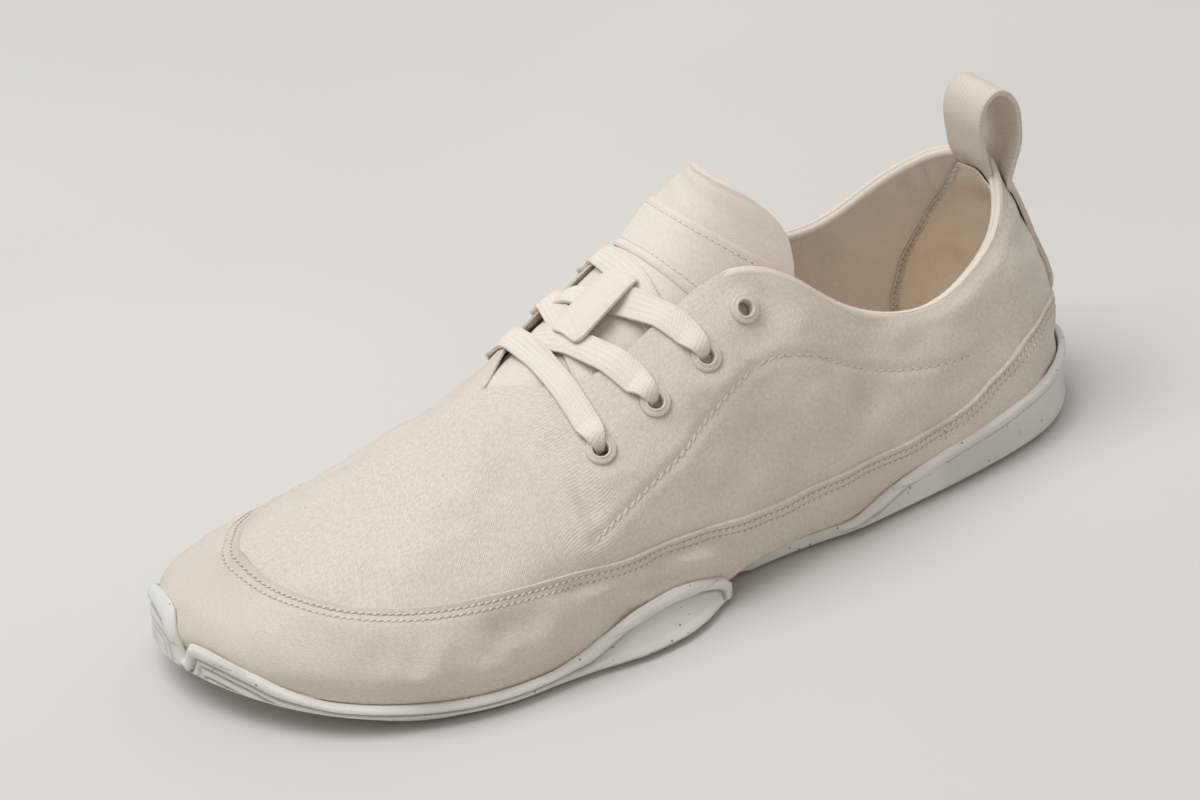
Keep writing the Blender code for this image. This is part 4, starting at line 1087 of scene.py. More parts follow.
outline = []
for place in outline_places():
    outline.append((edge_point(np.array(place)), place))
    if place == SLOT_REAR_MOUTH:
        outline += [(point, None) for point in slot_path()]
ring = np.array([point for point, place in outline])
ahead = unit(np.roll(ring, -1, 0) - ring)
behind = np.roll(ahead, 1, 0)
inward = unit(np.stack([ahead[:, 1] + behind[:, 1], -ahead[:, 0] - behind[:, 0]], -1))
BEAD_INSET = 4.2
rooms = []
for point, direction in zip(ring, inward):
    fits = [room for room in (1.0, 0.75, 0.5, 0.35)
            if distance_to(point + direction * BEAD_INSET * room, ring) > 0.85 * BEAD_INSET * room]
    rooms.append(fits[0] if fits else 0.2)
print("outsole outline", len(outline), "points")

# %% [markdown]
# The rim's edge is drawn once as a line of arc length and height. The round bead and the grooves are
# measured from that line, so they keep their width where the rim turns down at a lobe or a notch.

# %% Line of the rim
SHEET_TOP = PLATE + 0.42
CLEAR = BAND_STEP + 0.02
FACE = CLEAR + 1.25
BEAD = 1.4
NEARBY = 14.0

rim_places = np.array([place for point, place in outline if place is not None])
feather_line = feather(rim_places)[0]
closing = np.linalg.norm(np.diff(feather_line, axis=0, append=feather_line[:1]), axis=1)
rim_runs = np.concatenate([[0], np.cumsum(closing)])
RUN_LENGTH = rim_runs[-1]
rim_line = [(run, PLATE + float(RIM(place))) for run, place in zip(rim_runs, rim_places)]
for mouth, order in ((SLOT_REAR_MOUTH, 1), (SLOT_FRONT_MOUTH, 0)):
    number = int(np.argmin(np.abs(rim_places - mouth)))
    number = [index for index, spot in enumerate(rim_line) if spot[0] == rim_runs[number]][0]
    rim_line.insert(number + order, (rim_line[number][0], LUG_DEPTH))
rim_line = np.array(rim_line)
rim_line = np.concatenate([rim_line + [shift, 0] for shift in (-RUN_LENGTH, 0, RUN_LENGTH)])


def rim_gap(run, heights):
    """Distance of a column's heights to the rim's edge line."""
    near = rim_line[np.abs(rim_line[:, 0] - run) < NEARBY]
    spots = np.column_stack([np.full(len(heights), run), heights])
    return gaps_to(near, spots)[0].min(axis=1)


# %% Wall of the outsole
BOTTOM_STEPS = 4
SIDE_STEPS = 46
TOP_STEPS = 8
INSIDE_STEPS = 5
BOTTOM_BEAD = ((4.2, 1.0), (3.5, 0.95), (3.05, 0.6), (2.4, 0.4), (1.8, 0.65))


def dip(value, centre, width):
    return np.exp(-((value - centre) / width) ** 2)


def side_relief(gap, above, at, rim):
    """How far the face stands out of its plain wall, and the painted shade in its grooves there."""
    tall = float(smooth_step(rim, 0.6, 3.0))
    half = 0.95 + (BEAD - 0.95) * tall
    bead = 0.95 * np.sqrt(np.maximum(0.0, 1 - ((gap - half) / half) ** 2))
    groove = dip(gap, 2 * half + 0.1 + 0.25 * tall, 0.36 + 0.06 * tall)
    if TOE_LINES[0] < at < TOE_LINES[1]:
        groove = groove + dip(gap, 5.3, 0.45) + dip(gap, 7.6, 0.45)
    depth = bead - 0.8 * groove
    if SLOT_FRONT_MOUTH <= at < WING_END:
        depth = depth - 0.7 * smooth_step(gap, 2.6, 3.6) * smooth_step(above, 0.4, 1.8)
    return depth, 0.6 * groove


def plain_column(point, direction, room):
    low = LUG_DEPTH + EDGE_ROUND
    turns = np.linspace(0, math.pi / 2, BOTTOM_STEPS + 1)[:-1]
    insets = [inset for inset, height in BOTTOM_BEAD] + list(EDGE_ROUND * (1 - np.sin(turns)))
    heights = [height for inset, height in BOTTOM_BEAD] + list(low - EDGE_ROUND * np.cos(turns))
    fractions = np.linspace(0, 1, SIDE_STEPS)
    insets += [0.0] * SIDE_STEPS
    heights += list(low + (SHEET_TOP - 0.5 - low) * fractions)
    tops = np.linspace(0, math.pi / 2, TOP_STEPS + 1)[1:]
    insets += list(0.5 * (1 - np.cos(tops)))
    heights += list(SHEET_TOP - 0.5 + 0.5 * np.sin(tops))
    insets += list(0.5 + 0.1 * np.arange(1, INSIDE_STEPS + 1))
    heights += [SHEET_TOP] * INSIDE_STEPS
    flat = point + direction * (np.array(insets) * room)[:, None]
    return np.column_stack([flat, np.array(heights) + spring(flat[:, 0])])


def lapped_column(plain, place, run):
    """Column that laps up the cloth: bottom edge, side with its relief, round top and inner face."""
    low = LUG_DEPTH + EDGE_ROUND
    place = np.array(float(place))
    foot, outward = feather(place)
    reach = float(REACH(place))
    lift = float(spring(foot[0]))
    top = PLATE + float(RIM(place))
    shares = np.linspace(0.0, 0.95, 60)
    wall_z = last_point(place, shares)[:, 2]

    def beside(height, distance):
        share = np.interp(height + lift, wall_z, shares)
        on_wall = last_point(place, share) + last_normal(place, share) * distance[:, None]
        straight = np.column_stack([foot + outward * distance[:, None], height + lift])
        return np.where((height + lift > wall_z[0])[:, None], on_wall, straight)

    bottom = len(BOTTOM_BEAD) + BOTTOM_STEPS
    fractions = np.linspace(0, 1, SIDE_STEPS)
    heights = low + (top - low) * fractions
    depth, groove_shade = side_relief(rim_gap(run, heights), heights - low, float(place), float(RIM(place)))
    side = beside(heights, FACE + depth)
    side[:, :2] += outward * ((reach - FACE) * (1 - fractions) ** 1.5)[:, None]
    angle = np.linspace(0, math.pi, TOP_STEPS + 1)[1:]
    crown = beside(top + 0.3 * np.sin(angle), CLEAR + (FACE - CLEAR) / 2 * (1 + np.cos(angle)))
    inner_heights = SHEET_TOP + (top - SHEET_TOP) * np.linspace(0.8, 0.0, INSIDE_STEPS)
    inner = beside(inner_heights, np.full(INSIDE_STEPS, CLEAR))
    tone = np.zeros(len(plain))
    # Painted shade in the rim's grooves.
    tone[bottom:bottom + SIDE_STEPS] = groove_shade
    return np.concatenate([plain[:bottom], side, crown, inner]), tone


# %% Columns round the outline
columns = []
tones = []
runs = iter(rim_runs)
for (point, place), direction, room in zip(outline, inward, rooms):
    column = plain_column(point, direction, room)
    tone = np.zeros(len(column))
    if place is not None:
        run = next(runs)
        share = float(smooth_step(RIM(place), 0.0, RIM_START))
        if share > 0:
            lapped, groove_shade = lapped_column(column, place, run)
            column = column * (1 - share) + lapped * share
            tone = groove_shade * share
    columns.append(column)
    tones.append(tone)
columns = np.array(columns)
print("outsole wall", columns.shape)


# %% Sheet that closes the wall
def inside(point, polygon):
    previous = np.roll(polygon, 1, 0)
    crosses = (polygon[:, 1] > point[1]) != (previous[:, 1] > point[1])
    rise = np.where(crosses, previous[:, 1] - polygon[:, 1], 1.0)
    cut = polygon[:, 0] + (previous[:, 0] - polygon[:, 0]) * (point[1] - polygon[:, 1]) / rise
    return bool(np.sum(crosses & (point[0] < cut)) % 2)


def fill(border, height, step):
    """Points and triangles of a sheet inside a closed border, at a height over the spring."""
    spots = [tuple(point) for point in border]
    edges = [(number, (number + 1) % len(border)) for number in range(len(border))]
    for x in np.arange(border[:, 0].min(), border[:, 0].max(), step):
        for y in np.arange(border[:, 1].min(), border[:, 1].max(), step):
            spot = np.array([x, y])
            if inside(spot, border) and distance_to(spot, border) > 0.45 * step:
                spots.append((x, y))
    filled = delaunay_2d_cdt([Vector(spot) for spot in spots], edges, [], 0, 1e-6)
    flat = np.array([(point.x, point.y) for point in filled[0]])
    faces = []
    for face in filled[2]:
        if inside(flat[face].mean(axis=0), border):
            faces.append(list(face))
    sources = [min(source) if source else -1 for source in filled[3]]
    points = np.column_stack([flat, height + spring(flat[:, 0])])
    return points, faces, sources


def shell_object(name, columns, low_height, high_height, tones=None, step=9.0):
    count, rows = columns.shape[:2]
    points = [point for column in columns for point in column]
    shades = [0.0] * len(points) if tones is None else list(np.concatenate(tones))
    faces = []
    for number in range(count):
        here = number * rows
        there = (number + 1) % count * rows
        faces += [[here + row, there + row, there + row + 1, here + row + 1] for row in range(rows - 1)]
    for row, height in ((0, low_height), (rows - 1, high_height)):
        sheet, triangles, sources = fill(columns[:, row, :2], height, step)
        names = []
        for point, source in zip(sheet, sources):
            if 0 <= source < count:
                names.append(source * rows + row)
            else:
                names.append(len(points))
                points.append(point)
                shades.append(0.0)
        faces += [[names[corner] for corner in face] for face in triangles]
    piece = built(name, points, faces)
    shade_map(piece, np.array(shades))
    merge(piece, 0.000004)
    turn_outward(piece)
    return piece


outsole = shell_object("outsole_rubber", columns, LUG_DEPTH, SHEET_TOP, tones)
dress(outsole, rubber_finish, "rubber", "outsole", angle=38)

# %% [markdown]
# ## Tread
#
# The pads of the tread are raised a millimetre and cut with grooves that follow their outline like the
# lines of a map. Each pad starts as a rounded outline and steps inwards to its spine, up and down in
# turn, so every ridge and groove is real geometry.

# %% Table of pads
Pad = namedtuple("Pad", "name rings height spine corners")
PADS = [
    Pad("heel_leaf", 9, 0.0, ((28, -17), (72, -9)),
        ((7, -16), (14, -26), (28, -32), (46, -31.5), (60, -27), (74, -17), (92, 0), (66, 0), (40, -2),
         (18, -6))),
    Pad("hairpin", 3, 0.0, ((112, 29), (146, -2)),
        ((104, 32), (111, 35), (154, 4), (155, -4), (146, -9), (137, -4))),
    Pad("bare_triangle", 0, 0.4, ((150, 16), (168, 12)),
        ((130, 31), (150, 11), (158, 6), (176, 11), (180, 14), (158, 22))),
    Pad("ball", 9, 0.0, ((176, -12), (202, -21)),
        ((156, -4), (162, 5), (179, 9), (200, 2), (215, -7), (217, -18), (216, -28), (208, -38),
         (194, -42), (174, -36), (161, -22))),
    Pad("ball_outer", 6, 0.0, ((164, 42), (198, 33)),
        ((144, 44), (151, 37), (168, 31), (193, 23), (205, 20), (210, 24), (208, 34), (201, 47),
         (182, 52), (160, 51))),
    Pad("toe_outer", 6, 0.0, ((226, 36), (240, 27)),
        ((219, 48), (219, 21), (261, 16), (252, 31), (236, 43))),
    Pad("toe_inner", 5, 0.0, ((226, -26), (233, -24)),
        ((227, -5), (221, -38), (242, -25))),
]
for number in range(4):
    side = 8 + 5 * number
    PADS.append(Pad(f"heel_rib_{number + 1}", 0, 0.45, ((16, side), (60, side + 5)),
                    ((13, side - 1.4), (62, side + 3.6), (63, side + 6.2), (12, side + 1.2))))
PAD_GROOVE = 0.78
RIB_SECTION = ((0.30, 0.0), (0.42, 0.16), (0.54, 1.0), (0.70, 1.0), (0.82, 0.16), (0.94, 0.0))


# %% Pads stepped inwards
def rounded(corners, passes=3):
    points = np.array(corners, float)
    for number in range(passes):
        following = np.roll(points, -1, 0)
        points = np.stack([0.78 * points + 0.22 * following, 0.22 * points + 0.78 * following], 1)
        points = points.reshape(-1, 2)
    return points


def pad_piece(pad):
    border = rounded(pad.corners)
    start, end = np.array(pad.spine, float)
    along = end - start
    share = np.clip((border - start) @ along / (along @ along), 0, 1)
    spine = start + share[:, None] * along
    loops = [(0.0, LUG_DEPTH + 0.1), (0.015, pad.height + 0.3), (0.035, pad.height)]
    for number in range(pad.rings):
        for place, depth in RIB_SECTION:
            loops.append((0.035 + 0.93 * (number + place) / pad.rings, PAD_GROOVE * depth))
    points = []
    for inset, height in loops:
        flat = border + (spine - border) * inset
        points.append(np.column_stack([flat, height + spring(flat[:, 0])]))
    count = len(border)
    faces = []
    for row in range(len(loops) - 1):
        for number in range(count):
            after = (number + 1) % count
            faces.append([row * count + number, row * count + after,
                          (row + 1) * count + after, (row + 1) * count + number])
    faces.append([(len(loops) - 1) * count + number for number in range(count)])
    faces.append([number for number in range(count)])
    points = np.concatenate(points)
    piece = built("tread_" + pad.name, points, faces)
    turn_outward(piece)
    heights = points[:, 2] - spring(points[:, 0])
    # Painted shade in the grooves and at the pads' roots.
    shade_map(piece, 0.4 * smooth_step(heights, 0.2, PAD_GROOVE))
    return dress(piece, rubber_finish, "rubber", angle=30)


for pad in PADS:
    pad_piece(pad)

# %% [markdown]
# ## Board and footbed
#
# A black board closes the foot below and shows through the slot. A cloth-covered footbed lies on it,
# with a rounded edge against the lining.

# %% Board and footbed
def foot_columns(profile):
    """Columns round the foot through insets from the feather edge and heights over the spring."""
    foot, outward = feather(np.arange(0, LOOP, 0.2))
    insets, heights = np.array(profile).T
    flat = foot[:, None] - outward[:, None] * insets[:, None]
    return np.concatenate([flat, (heights + spring(flat[..., 0]))[..., None]], -1)


BOARD_LOW = PLATE + GAP + 0.9
FOOTBED_LOW = PLATE + 2 * GAP + WALL
BOARD_HIGH = BOARD_LOW + 1.2
profile = [(7.0, BOARD_LOW), (6.5, BOARD_HIGH)]
board = shell_object("board", foot_columns(profile), BOARD_LOW, BOARD_HIGH)
dress(board, board_finish, "board")
profile = [(6.2, FOOTBED_LOW), (3.9, FOOTBED_LOW + 1.7), (3.8, FOOTBED_LOW + 2.9), (4.6, FOOTBED_LOW + 3.4)]
footbed = shell_object("footbed", foot_columns(profile), FOOTBED_LOW, FOOTBED_LOW + 3.4)
footbed.data.uv_layers.new(name="UVMap")
spots = points_of(footbed)
cloth_map(footbed, spots[:, 0], spots[:, 1])
dress(footbed, heel_finish, "board", "insole")

# %% [markdown]
# ## Tongue
#
# The tongue is a padded flap. Its section is a flat oval that bends down to the sides, and its top is
# rounded and leans out of the collar. A strip sewn across it is left plain.

# %% Tongue
TongueRow = namedtuple("TongueRow", "x z half curl inner inner_curl")
TONGUE = [TongueRow(*row) for row in (
    (196, 50.2, 10, 3.0, 10, 3.0),
    (186, 55.3, 12, 3.4, 9, 3.2),
    (175, 60.0, 15, 3.4, 10.5, 2.0),
    (163, 62.4, 18, 2.8, 14.5, 1.0),
    (150, 68.0, 20, 2.5, 16.5, 0.6),
    (138, 74.5, 20, 2.7, 18, 0.8),
    (128, 81.0, 20, 4.2, 20, 1.2),
    (121, 87.6, 22.6, 5.3, 18.5, 1.2),
    (116, 93.8, 21.0, 4.6, 11, 1.2),
    (113.4, 98.0, 16.8, 4.1, 6.5, 1.0),
    (112.4, 100.0, 11.3, 3.8, 4.0, 1.0),
    (112.0, 100.9, 6.5, 3.8, 2.8, 1.0),
    (111.9, 101.2, 2.0, 3.8, 1.5, 1.0),
)]
TONGUE_THICKNESS = 2.8
TONGUE_MAP = (112, 90)
TONGUE_WIDEST = 7.0
TONGUE_CURVES = [eased_curve(range(len(TONGUE)), column) for column in zip(*TONGUE)]


def tongue_point(along, across, lift):
    x, z, half, curl, inner, inner_curl = [curve(along) for curve in TONGUE_CURVES]
    level = np.clip(along, 0.2, 8.5)
    run = np.stack([TONGUE_CURVES[0](level + 0.1) - TONGUE_CURVES[0](level - 0.1), 0 * x,
                    TONGUE_CURVES[1](level + 0.1) - TONGUE_CURVES[1](level - 0.1)], -1)
    run = unit(run)
    normal = np.stack([run[..., 2], 0 * x, -run[..., 0]], -1)
    side = across * np.where(across > 0, half, inner)
    fall = np.where(across > 0, curl, inner_curl) * (side / 10) ** 2
    return np.stack([x, side, z], -1) + normal * (lift - fall)[..., None]


tongue, across, up = flat_grid("tongue_pad", 130, 56)
along = (len(TONGUE) - 1) * across
turn = math.tau * up
sides = np.sign(np.cos(turn)) * np.abs(np.cos(turn)) ** 0.7
swell = np.sign(np.sin(turn)) * np.abs(np.sin(turn)) ** 1.1
end = np.minimum(1, np.maximum(0.06, np.minimum(along / 0.15, (len(TONGUE) - 1 - along) / 1.4))) ** 0.5
lift = TONGUE_THICKNESS / 2 * (swell * end - 1) + 0.12 * np.sin(along * 5.1 + 3 * sides)
# Painted shade on the tongue's lower end, where it lies in the throat under the vamp.
drape(tongue, tongue_point(along, sides, lift), TONGUE_MAP[0] * across, TONGUE_MAP[1] * up,
      0.13 * (1 - smooth_step(along, 2.2, 4.0)))
merge(tongue)
only(tongue)
bpy.ops.object.mode_set(mode="EDIT")
bpy.ops.mesh.select_mode(type="VERT")
bpy.ops.mesh.select_all(action="DESELECT")
bpy.ops.mesh.select_non_manifold()
bpy.ops.mesh.edge_face_add()
bpy.ops.object.mode_set(mode="OBJECT")
turn_outward(tongue)
dress(tongue, tongue_finish, "canvas", "tongue")
steps = np.linspace(0, len(TONGUE) - 1, 200)
ridge = tongue_point(steps, 0 * steps, 0 * steps)
wide = tongue_point(np.full(60, TONGUE_WIDEST), np.linspace(-1, 1, 60), np.zeros(60))
tongue_runs = [run_along(line)[-1] for line in (ridge, wide)]
print("tongue", np.round(tongue_runs, 1), "mm")

# %% Strip across the tongue
PATCH_FROM = 5.75
PATCH_TO = 7.35
PATCH_SHARE = 0.92
PATCH_CLOTH = 0.6
PATCH_MAP = (38, 11)
PATCH_ROWS = (0.14, 0.86)
patch, across, up = flat_grid("tongue_strip", 60, 22)
along = PATCH_FROM + (PATCH_TO - PATCH_FROM) * up
edge = np.minimum(np.minimum(up, 1 - up) / 0.05, np.minimum(across, 1 - across) / 0.02)
lift = 0.15 + 0.55 * np.clip(edge, 0, 1) ** 0.5
for row in PATCH_ROWS:
    lift -= 0.22 * np.exp(-((up - row) / 0.04) ** 2)
# Painted shade along the strip's edges.
drape(patch, tongue_point(along, PATCH_SHARE * (2 * across - 1), lift), PATCH_MAP[0] * across,
      PATCH_MAP[1] * up, 0.08 * (1 - np.clip(edge, 0, 1)))
face_along(patch, np.tile((0.6, 0.0, 0.8), (len(across), 1)))
change(patch, "SOLIDIFY", thickness=PATCH_CLOTH * MM, offset=-1.0)
dress(patch, tongue_finish, "canvas", "tongue_patch")
ends = tongue_point(np.array([PATCH_FROM, PATCH_TO]), np.zeros(2), np.zeros(2))
sides = np.linspace(-PATCH_SHARE, PATCH_SHARE, 60)
middle = tongue_point(np.full(60, (PATCH_FROM + PATCH_TO) / 2), sides, np.zeros(60))
print("strip", np.round([run_along(middle)[-1], run_along(ends)[-1]], 1), "mm")

# %% [markdown]
# ## Eyelets
#
# Each eyelet is a pressed ring, painted like the cloth. One is drawn out of a circle that runs up the
# bore, over the rounded flange and back down the outside of the barrel. The others are copies turned
# to the slope of the facing.

# %% Eyelet rings
EyeletStep = namedtuple("EyeletStep", "radius height")
EYELET_PROFILE = [EyeletStep(*row) for row in (
    (2.0, -1.9), (2.0, 0.5), (2.1, 1.1), (2.35, 1.4),
    (2.65, 1.35), (2.85, 1.05), (3.15, 0.95), (3.6, 0.95),
    (3.95, 0.75), (4.1, 0.4), (4.0, 0.05), (2.5, 0.05),
    (2.5, -1.9), (2.0, -1.9),
)]


def spun_ring(name):
    bpy.ops.object.select_all(action="DESELECT")
    first = EYELET_PROFILE[0]
    bpy.ops.mesh.primitive_circle_add(vertices=40, radius=first.radius * MM, location=(0, 0, 0))
    piece = bpy.context.object
    piece.name = name
    bpy.ops.object.mode_set(mode="EDIT")
    bpy.ops.mesh.select_all(action="SELECT")
    bpy.ops.transform.translate(value=(0, 0, first.height * MM))
    for before, after in zip(EYELET_PROFILE, EYELET_PROFILE[1:]):
        rise = (after.height - before.height) * MM
        bpy.ops.mesh.extrude_region_move(TRANSFORM_OT_translate={"value": (0, 0, rise)})
        scale = after.radius / before.radius
        bpy.ops.transform.resize(value=(scale, scale, 1), center_override=(0, 0, after.height * MM))
    bpy.ops.object.mode_set(mode="OBJECT")
    merge(piece)
    turn_outward(piece)
    return piece


model_ring = spun_ring("eyelet_model")
ring_points = np.array([vertex.co for vertex in model_ring.data.vertices])
for word, side in SIDES:
    for eyelet in EYELETS:
        spot, normal = eyelet_spot(eyelet.number, side)
        piece = model_ring.copy()
        piece.data = model_ring.data.copy()
        piece.name = f"ring_{word}_{eyelet.number}"
        scene.collection.objects.link(piece)
        turn = Vector((0, 0, 1)).rotation_difference(Vector(normal)).to_matrix()
        settle(piece, ring_points @ np.array(turn).T / MM + spot)
        dress(piece, eyelet_finish, "eyelet", f"eyelet_{word}_{eyelet.number}", angle=60)
bpy.data.objects.remove(model_ring)

# %% [markdown]
# ## Lace
#
# The lace is a flat tape drawn tight over tongue and facings. Rays from above find what lies below
# it, a line pulled over those heights gives its path, and at an eyelet it folds narrow and dives into
# the hole. Strands that slip under a facing lie on the tongue there.

# %% Tape that lies tight
LACE_WIDTH = 6.8
LACE_THICKNESS = 1.2
LACE_CROWN = (0.0, 0.2, 0.28, 0.2, 0.0)
LACE_LINES = (-0.5, -0.25, 0.0, 0.25, 0.5)
LACE_SAMPLES = 60
LACE_LIFT = 1.55
TAPE_FACING = (0.3, 0.0, 1.0)
bpy.context.view_layer.update()
upper_tree = tree_of(upper)
tongue_tree = tree_of(tongue)
patch_tree = tree_of(patch)


def height_over(flat, beds):
    best = None
    spot = (np.array([flat[0], flat[1], 0.0]) - LAST_MIDDLE) * MM
    for tree, clearance in beds:
        hit = tree.ray_cast(Vector((spot[0], spot[1], 0.2)), Vector((0, 0, -1)))
        if hit[0] is not None:
            height = hit[0].z / MM + clearance
            best = height if best is None else max(best, height)
    return best


def taut(places, heights):
    hull = []
    for spot in zip(places, heights):
        while len(hull) > 1:
            first, middle = hull[-2], hull[-1]
            rise = (middle[1] - first[1]) * (spot[0] - first[0])
            if rise > (spot[1] - first[1]) * (middle[0] - first[0]):
                break
            hull.pop()
        hull.append(spot)
    return np.interp(places, [spot[0] for spot in hull], [spot[1] for spot in hull])


def softened(values, passes):
    values = np.array(values, float)
    for number in range(passes):
        values[1:-1] = 0.25 * values[:-2] + 0.5 * values[1:-1] + 0.25 * values[2:]
    return values


def dive_rows(number, side, near):
    """Rows of the tape where it narrows and goes down into an eyelet beside its nearest rows in sight."""
    spot, normal = eyelet_spot(number, side)
    lift = max(LACE_LIFT, float((near[0, 2] - spot) @ normal))
    toward = near[3, 2] - spot
    toward = unit(toward - (toward @ normal) * normal)
    cross = np.cross(normal, toward)
    rows = []
    for away, width, height in ((4.8, 6.2, lift), (3.5, 5.4, lift + 0.15), (2.3, 4.4, 1.2),
                                (1.5, 3.5, 0.2), (1.1, 2.8, -1.3), (1.0, 2.5, -4.0)):
        middle = spot + toward * away + normal * height
        cup = np.array([0.35, 0.1, 0.0, 0.1, 0.35]) * (5.0 - width) * 0.4
        rows.append([middle + cross * line * width + normal * bend for line, bend in zip(LACE_LINES, cup)])
    rows = np.array(rows)
    return rows[:, ::-1] if (rows[0, 4] - rows[0, 0]) @ (near[0, 4] - near[0, 0]) < 0 else rows


def tape_rows(start, end, beds, hidden_beds, hidden_from, width, narrow, crowns, passes):
    """Rows of five points across a tape from one plan point to another."""
    along = end - start
    cross = unit(np.array([-along[1], along[0]]))
    shares = np.linspace(0, 1, len(narrow))
    lines = []
    for offset, crown in zip(LACE_LINES, crowns):
        heights = []
        for share in shares:
            flat = start + along * share + cross * offset * width
            chosen = hidden_beds if share > hidden_from else beds
            height = height_over(flat, chosen)
            heights.append(height if height is not None else (heights[-1] if heights else 0.0))
        tight = softened(taut(shares, heights), passes)
        flat = start + along * shares[:, None] + cross * (offset * width * narrow)[:, None]
        lines.append(np.column_stack([flat, tight + crown]))
    return np.stack(lines, 1)


def lace_rows(start, end, beds, hidden_beds, hidden_from):
    return tape_rows(start, end, beds, hidden_beds, hidden_from, LACE_WIDTH, np.ones(LACE_SAMPLES),
                     LACE_CROWN, 3)


# %% Sheets through rows
def sheet_through(name, rows):
    """Grid laid through rows of points, with the row and the share across of each vertex."""
    last_row, last_line = len(rows) - 1, len(rows[0]) - 1
    piece, across, up = flat_grid(name, last_row, last_line)
    row = np.rint(across * last_row).astype(int)
    settle(piece, rows[row, np.rint(up * last_line).astype(int)])
    return piece, row, up


def thicken(piece, facing, thickness, edge):
    face_along(piece, facing)
    change(piece, "SOLIDIFY", thickness=thickness * MM, offset=1.0)
    change(piece, "BEVEL", width=edge * MM, segments=2, limit_method="ANGLE", angle_limit=1.0)


def tape_piece(name, rows, *nodes):
    run = run_along(rows[:, 2])
    piece, row, up = sheet_through(name, rows)
    cloth_map(piece, LACE_WIDTH * up, run[row])
    # Painted shade along the tape's two long edges.
    shade_map(piece, 0.12 * np.abs(2 * up - 1) ** 4)
    thicken(piece, np.tile(TAPE_FACING, (len(up), 1)), LACE_THICKNESS, 0.35)
    change(piece, "SUBSURF", levels=2, render_levels=2)
    dress(piece, lace_finish, "lace", *nodes)
    print(name, "length", round(float(run[-1]), 1), "mm")
    return piece


# %% Strands
Strand = namedtuple("Strand", "name side eyelet hidden_station replaces")
STRANDS = [
    Strand("lace_under_1", -1, 2, 8.85, "lace_cross_1"),
    Strand("lace_over_1", 1, 2, 8.90, None),
    Strand("lace_under_2", -1, 3, 7.98, "lace_cross_2"),
    Strand("lace_over_2", 1, 3, 8.35, None),
]
RING_START = 4.6
HIDDEN_RUN = 7.0
beds = [(upper_tree, 0.45), (tongue_tree, 0.45), (patch_tree, 0.4)]
hidden_beds = [(tongue_tree, 0.4)]
for strand in STRANDS:
    spot, normal = eyelet_spot(strand.eyelet, strand.side)
    far = np.array(place_of(strand.hidden_station, -strand.side))
    edge = last_point(far, 1.0)
    flat = unit(edge[:2] - spot[:2])
    start = spot[:2] + flat * RING_START
    end = edge[:2] + flat * (HIDDEN_RUN if strand.side < 0 else -0.3)
    hidden_from = np.linalg.norm(edge[:2] - flat * (2.0 if strand.side < 0 else 6.0) - start)
    rows = lace_rows(start, end, beds, hidden_beds, hidden_from / np.linalg.norm(end - start))
    if strand.side > 0:
        rows[..., 2] -= 2.4 * smooth_step(np.linspace(0, 1, len(rows)), 0.86, 1.0)[:, None]
    dive = dive_rows(strand.eyelet, strand.side, rows)
    rows = np.concatenate([dive[::-1], rows[2:]])
    piece = tape_piece(strand.name, rows, *([strand.replaces] if strand.replaces else []))
    beds.append((tree_of(piece), 0.35))
    hidden_beds.append((tree_of(piece), 0.3))

# %% Lowest bar
outer_spot = eyelet_spot(1, 1)[0]
inner_spot = eyelet_spot(1, -1)[0]
flat = unit(inner_spot[:2] - outer_spot[:2])
rows = lace_rows(outer_spot[:2] + flat * RING_START, inner_spot[:2] - flat * RING_START, beds, beds, 2.0)
outer_dive = dive_rows(1, 1, rows)
inner_dive = dive_rows(1, -1, rows[::-1])
rows = np.concatenate([outer_dive[::-1], rows[2:-2], inner_dive])
tape_piece("lace_lowest", rows, "lace_bar")

# %% [markdown]
# ## Keeper
#
# A short tab of folded cloth stands along the middle of the tongue, sewn down at both ends, and the
# upper crossing passes below it.

# %% Keeper tab
KEEPER_START = np.array([136.5, 0.5])
KEEPER_END = np.array([158.0, 2.4])
KEEPER_WIDTH = 12.0
KEEPER_CLOTH = 1.3
KEEPER_LENGTH = 24
narrow = 1 - 0.3 * np.abs(2 * np.linspace(0, 1, 40) - 1) ** 14
rows = tape_rows(KEEPER_START, KEEPER_END, beds, beds, 2.0, KEEPER_WIDTH, narrow, (0.15,) * 5, 4)
keeper, row, up = sheet_through("keeper_tab", rows)
cloth_map(keeper, KEEPER_LENGTH / (len(rows) - 1) * row, KEEPER_WIDTH * up)
# Painted shade along the tab's two long edges.
shade_map(keeper, 0.1 * np.abs(2 * up - 1) ** 6)
thicken(keeper, np.tile(TAPE_FACING, (len(up), 1)), KEEPER_CLOTH, 0.4)
change(keeper, "SUBSURF", levels=2, render_levels=2)
dress(keeper, tongue_finish, "canvas", "lace_keeper")
print("keeper", round(float(run_along(rows[:, 2])[-1]), 1), "by", KEEPER_WIDTH, "mm")

# %% [markdown]
# ## Pull loop
#
# A tape of woven webbing starts at the band on the back of the heel, runs up, makes a loop above the
# collar and ends inside. Its rows are splined so that the loop is round and not a chain of flats.

# %% Webbing loop
LoopRow = namedtuple("LoopRow", "x z")
PULL_LOOP = [LoopRow(*row) for row in (
    (12.9, 76.0), (12.5, 82.0), (13.2, 87.8), (16.0, 92.0), (19.5, 93.0),
    (22.7, 90.6), (24.0, 86.0), (23.5, 80.0), (22.4, 74.0),
)]
StrapRow = namedtuple("StrapRow", "share lift")
STRAP = [StrapRow(*row) for row in (
    (0.23, -1.4), (0.26, -0.9), (0.29, 0.6), (0.33, 1.7), (0.38, 2.0),
    (0.45, 1.6), (0.53, 0.9), (0.60, 0.4), (0.68, 0.3), (0.76, 0.3),
    (0.84, 0.3), (0.91, 0.3),
)]
INNER_SHARES = (0.92, 0.84, 0.76)
LOOP_HALF = 0.80
LOOP_ACROSS = 12
WEBBING = 1.5
WEBBING_WIDTH = 17.5
OUTER_ROWS = 66

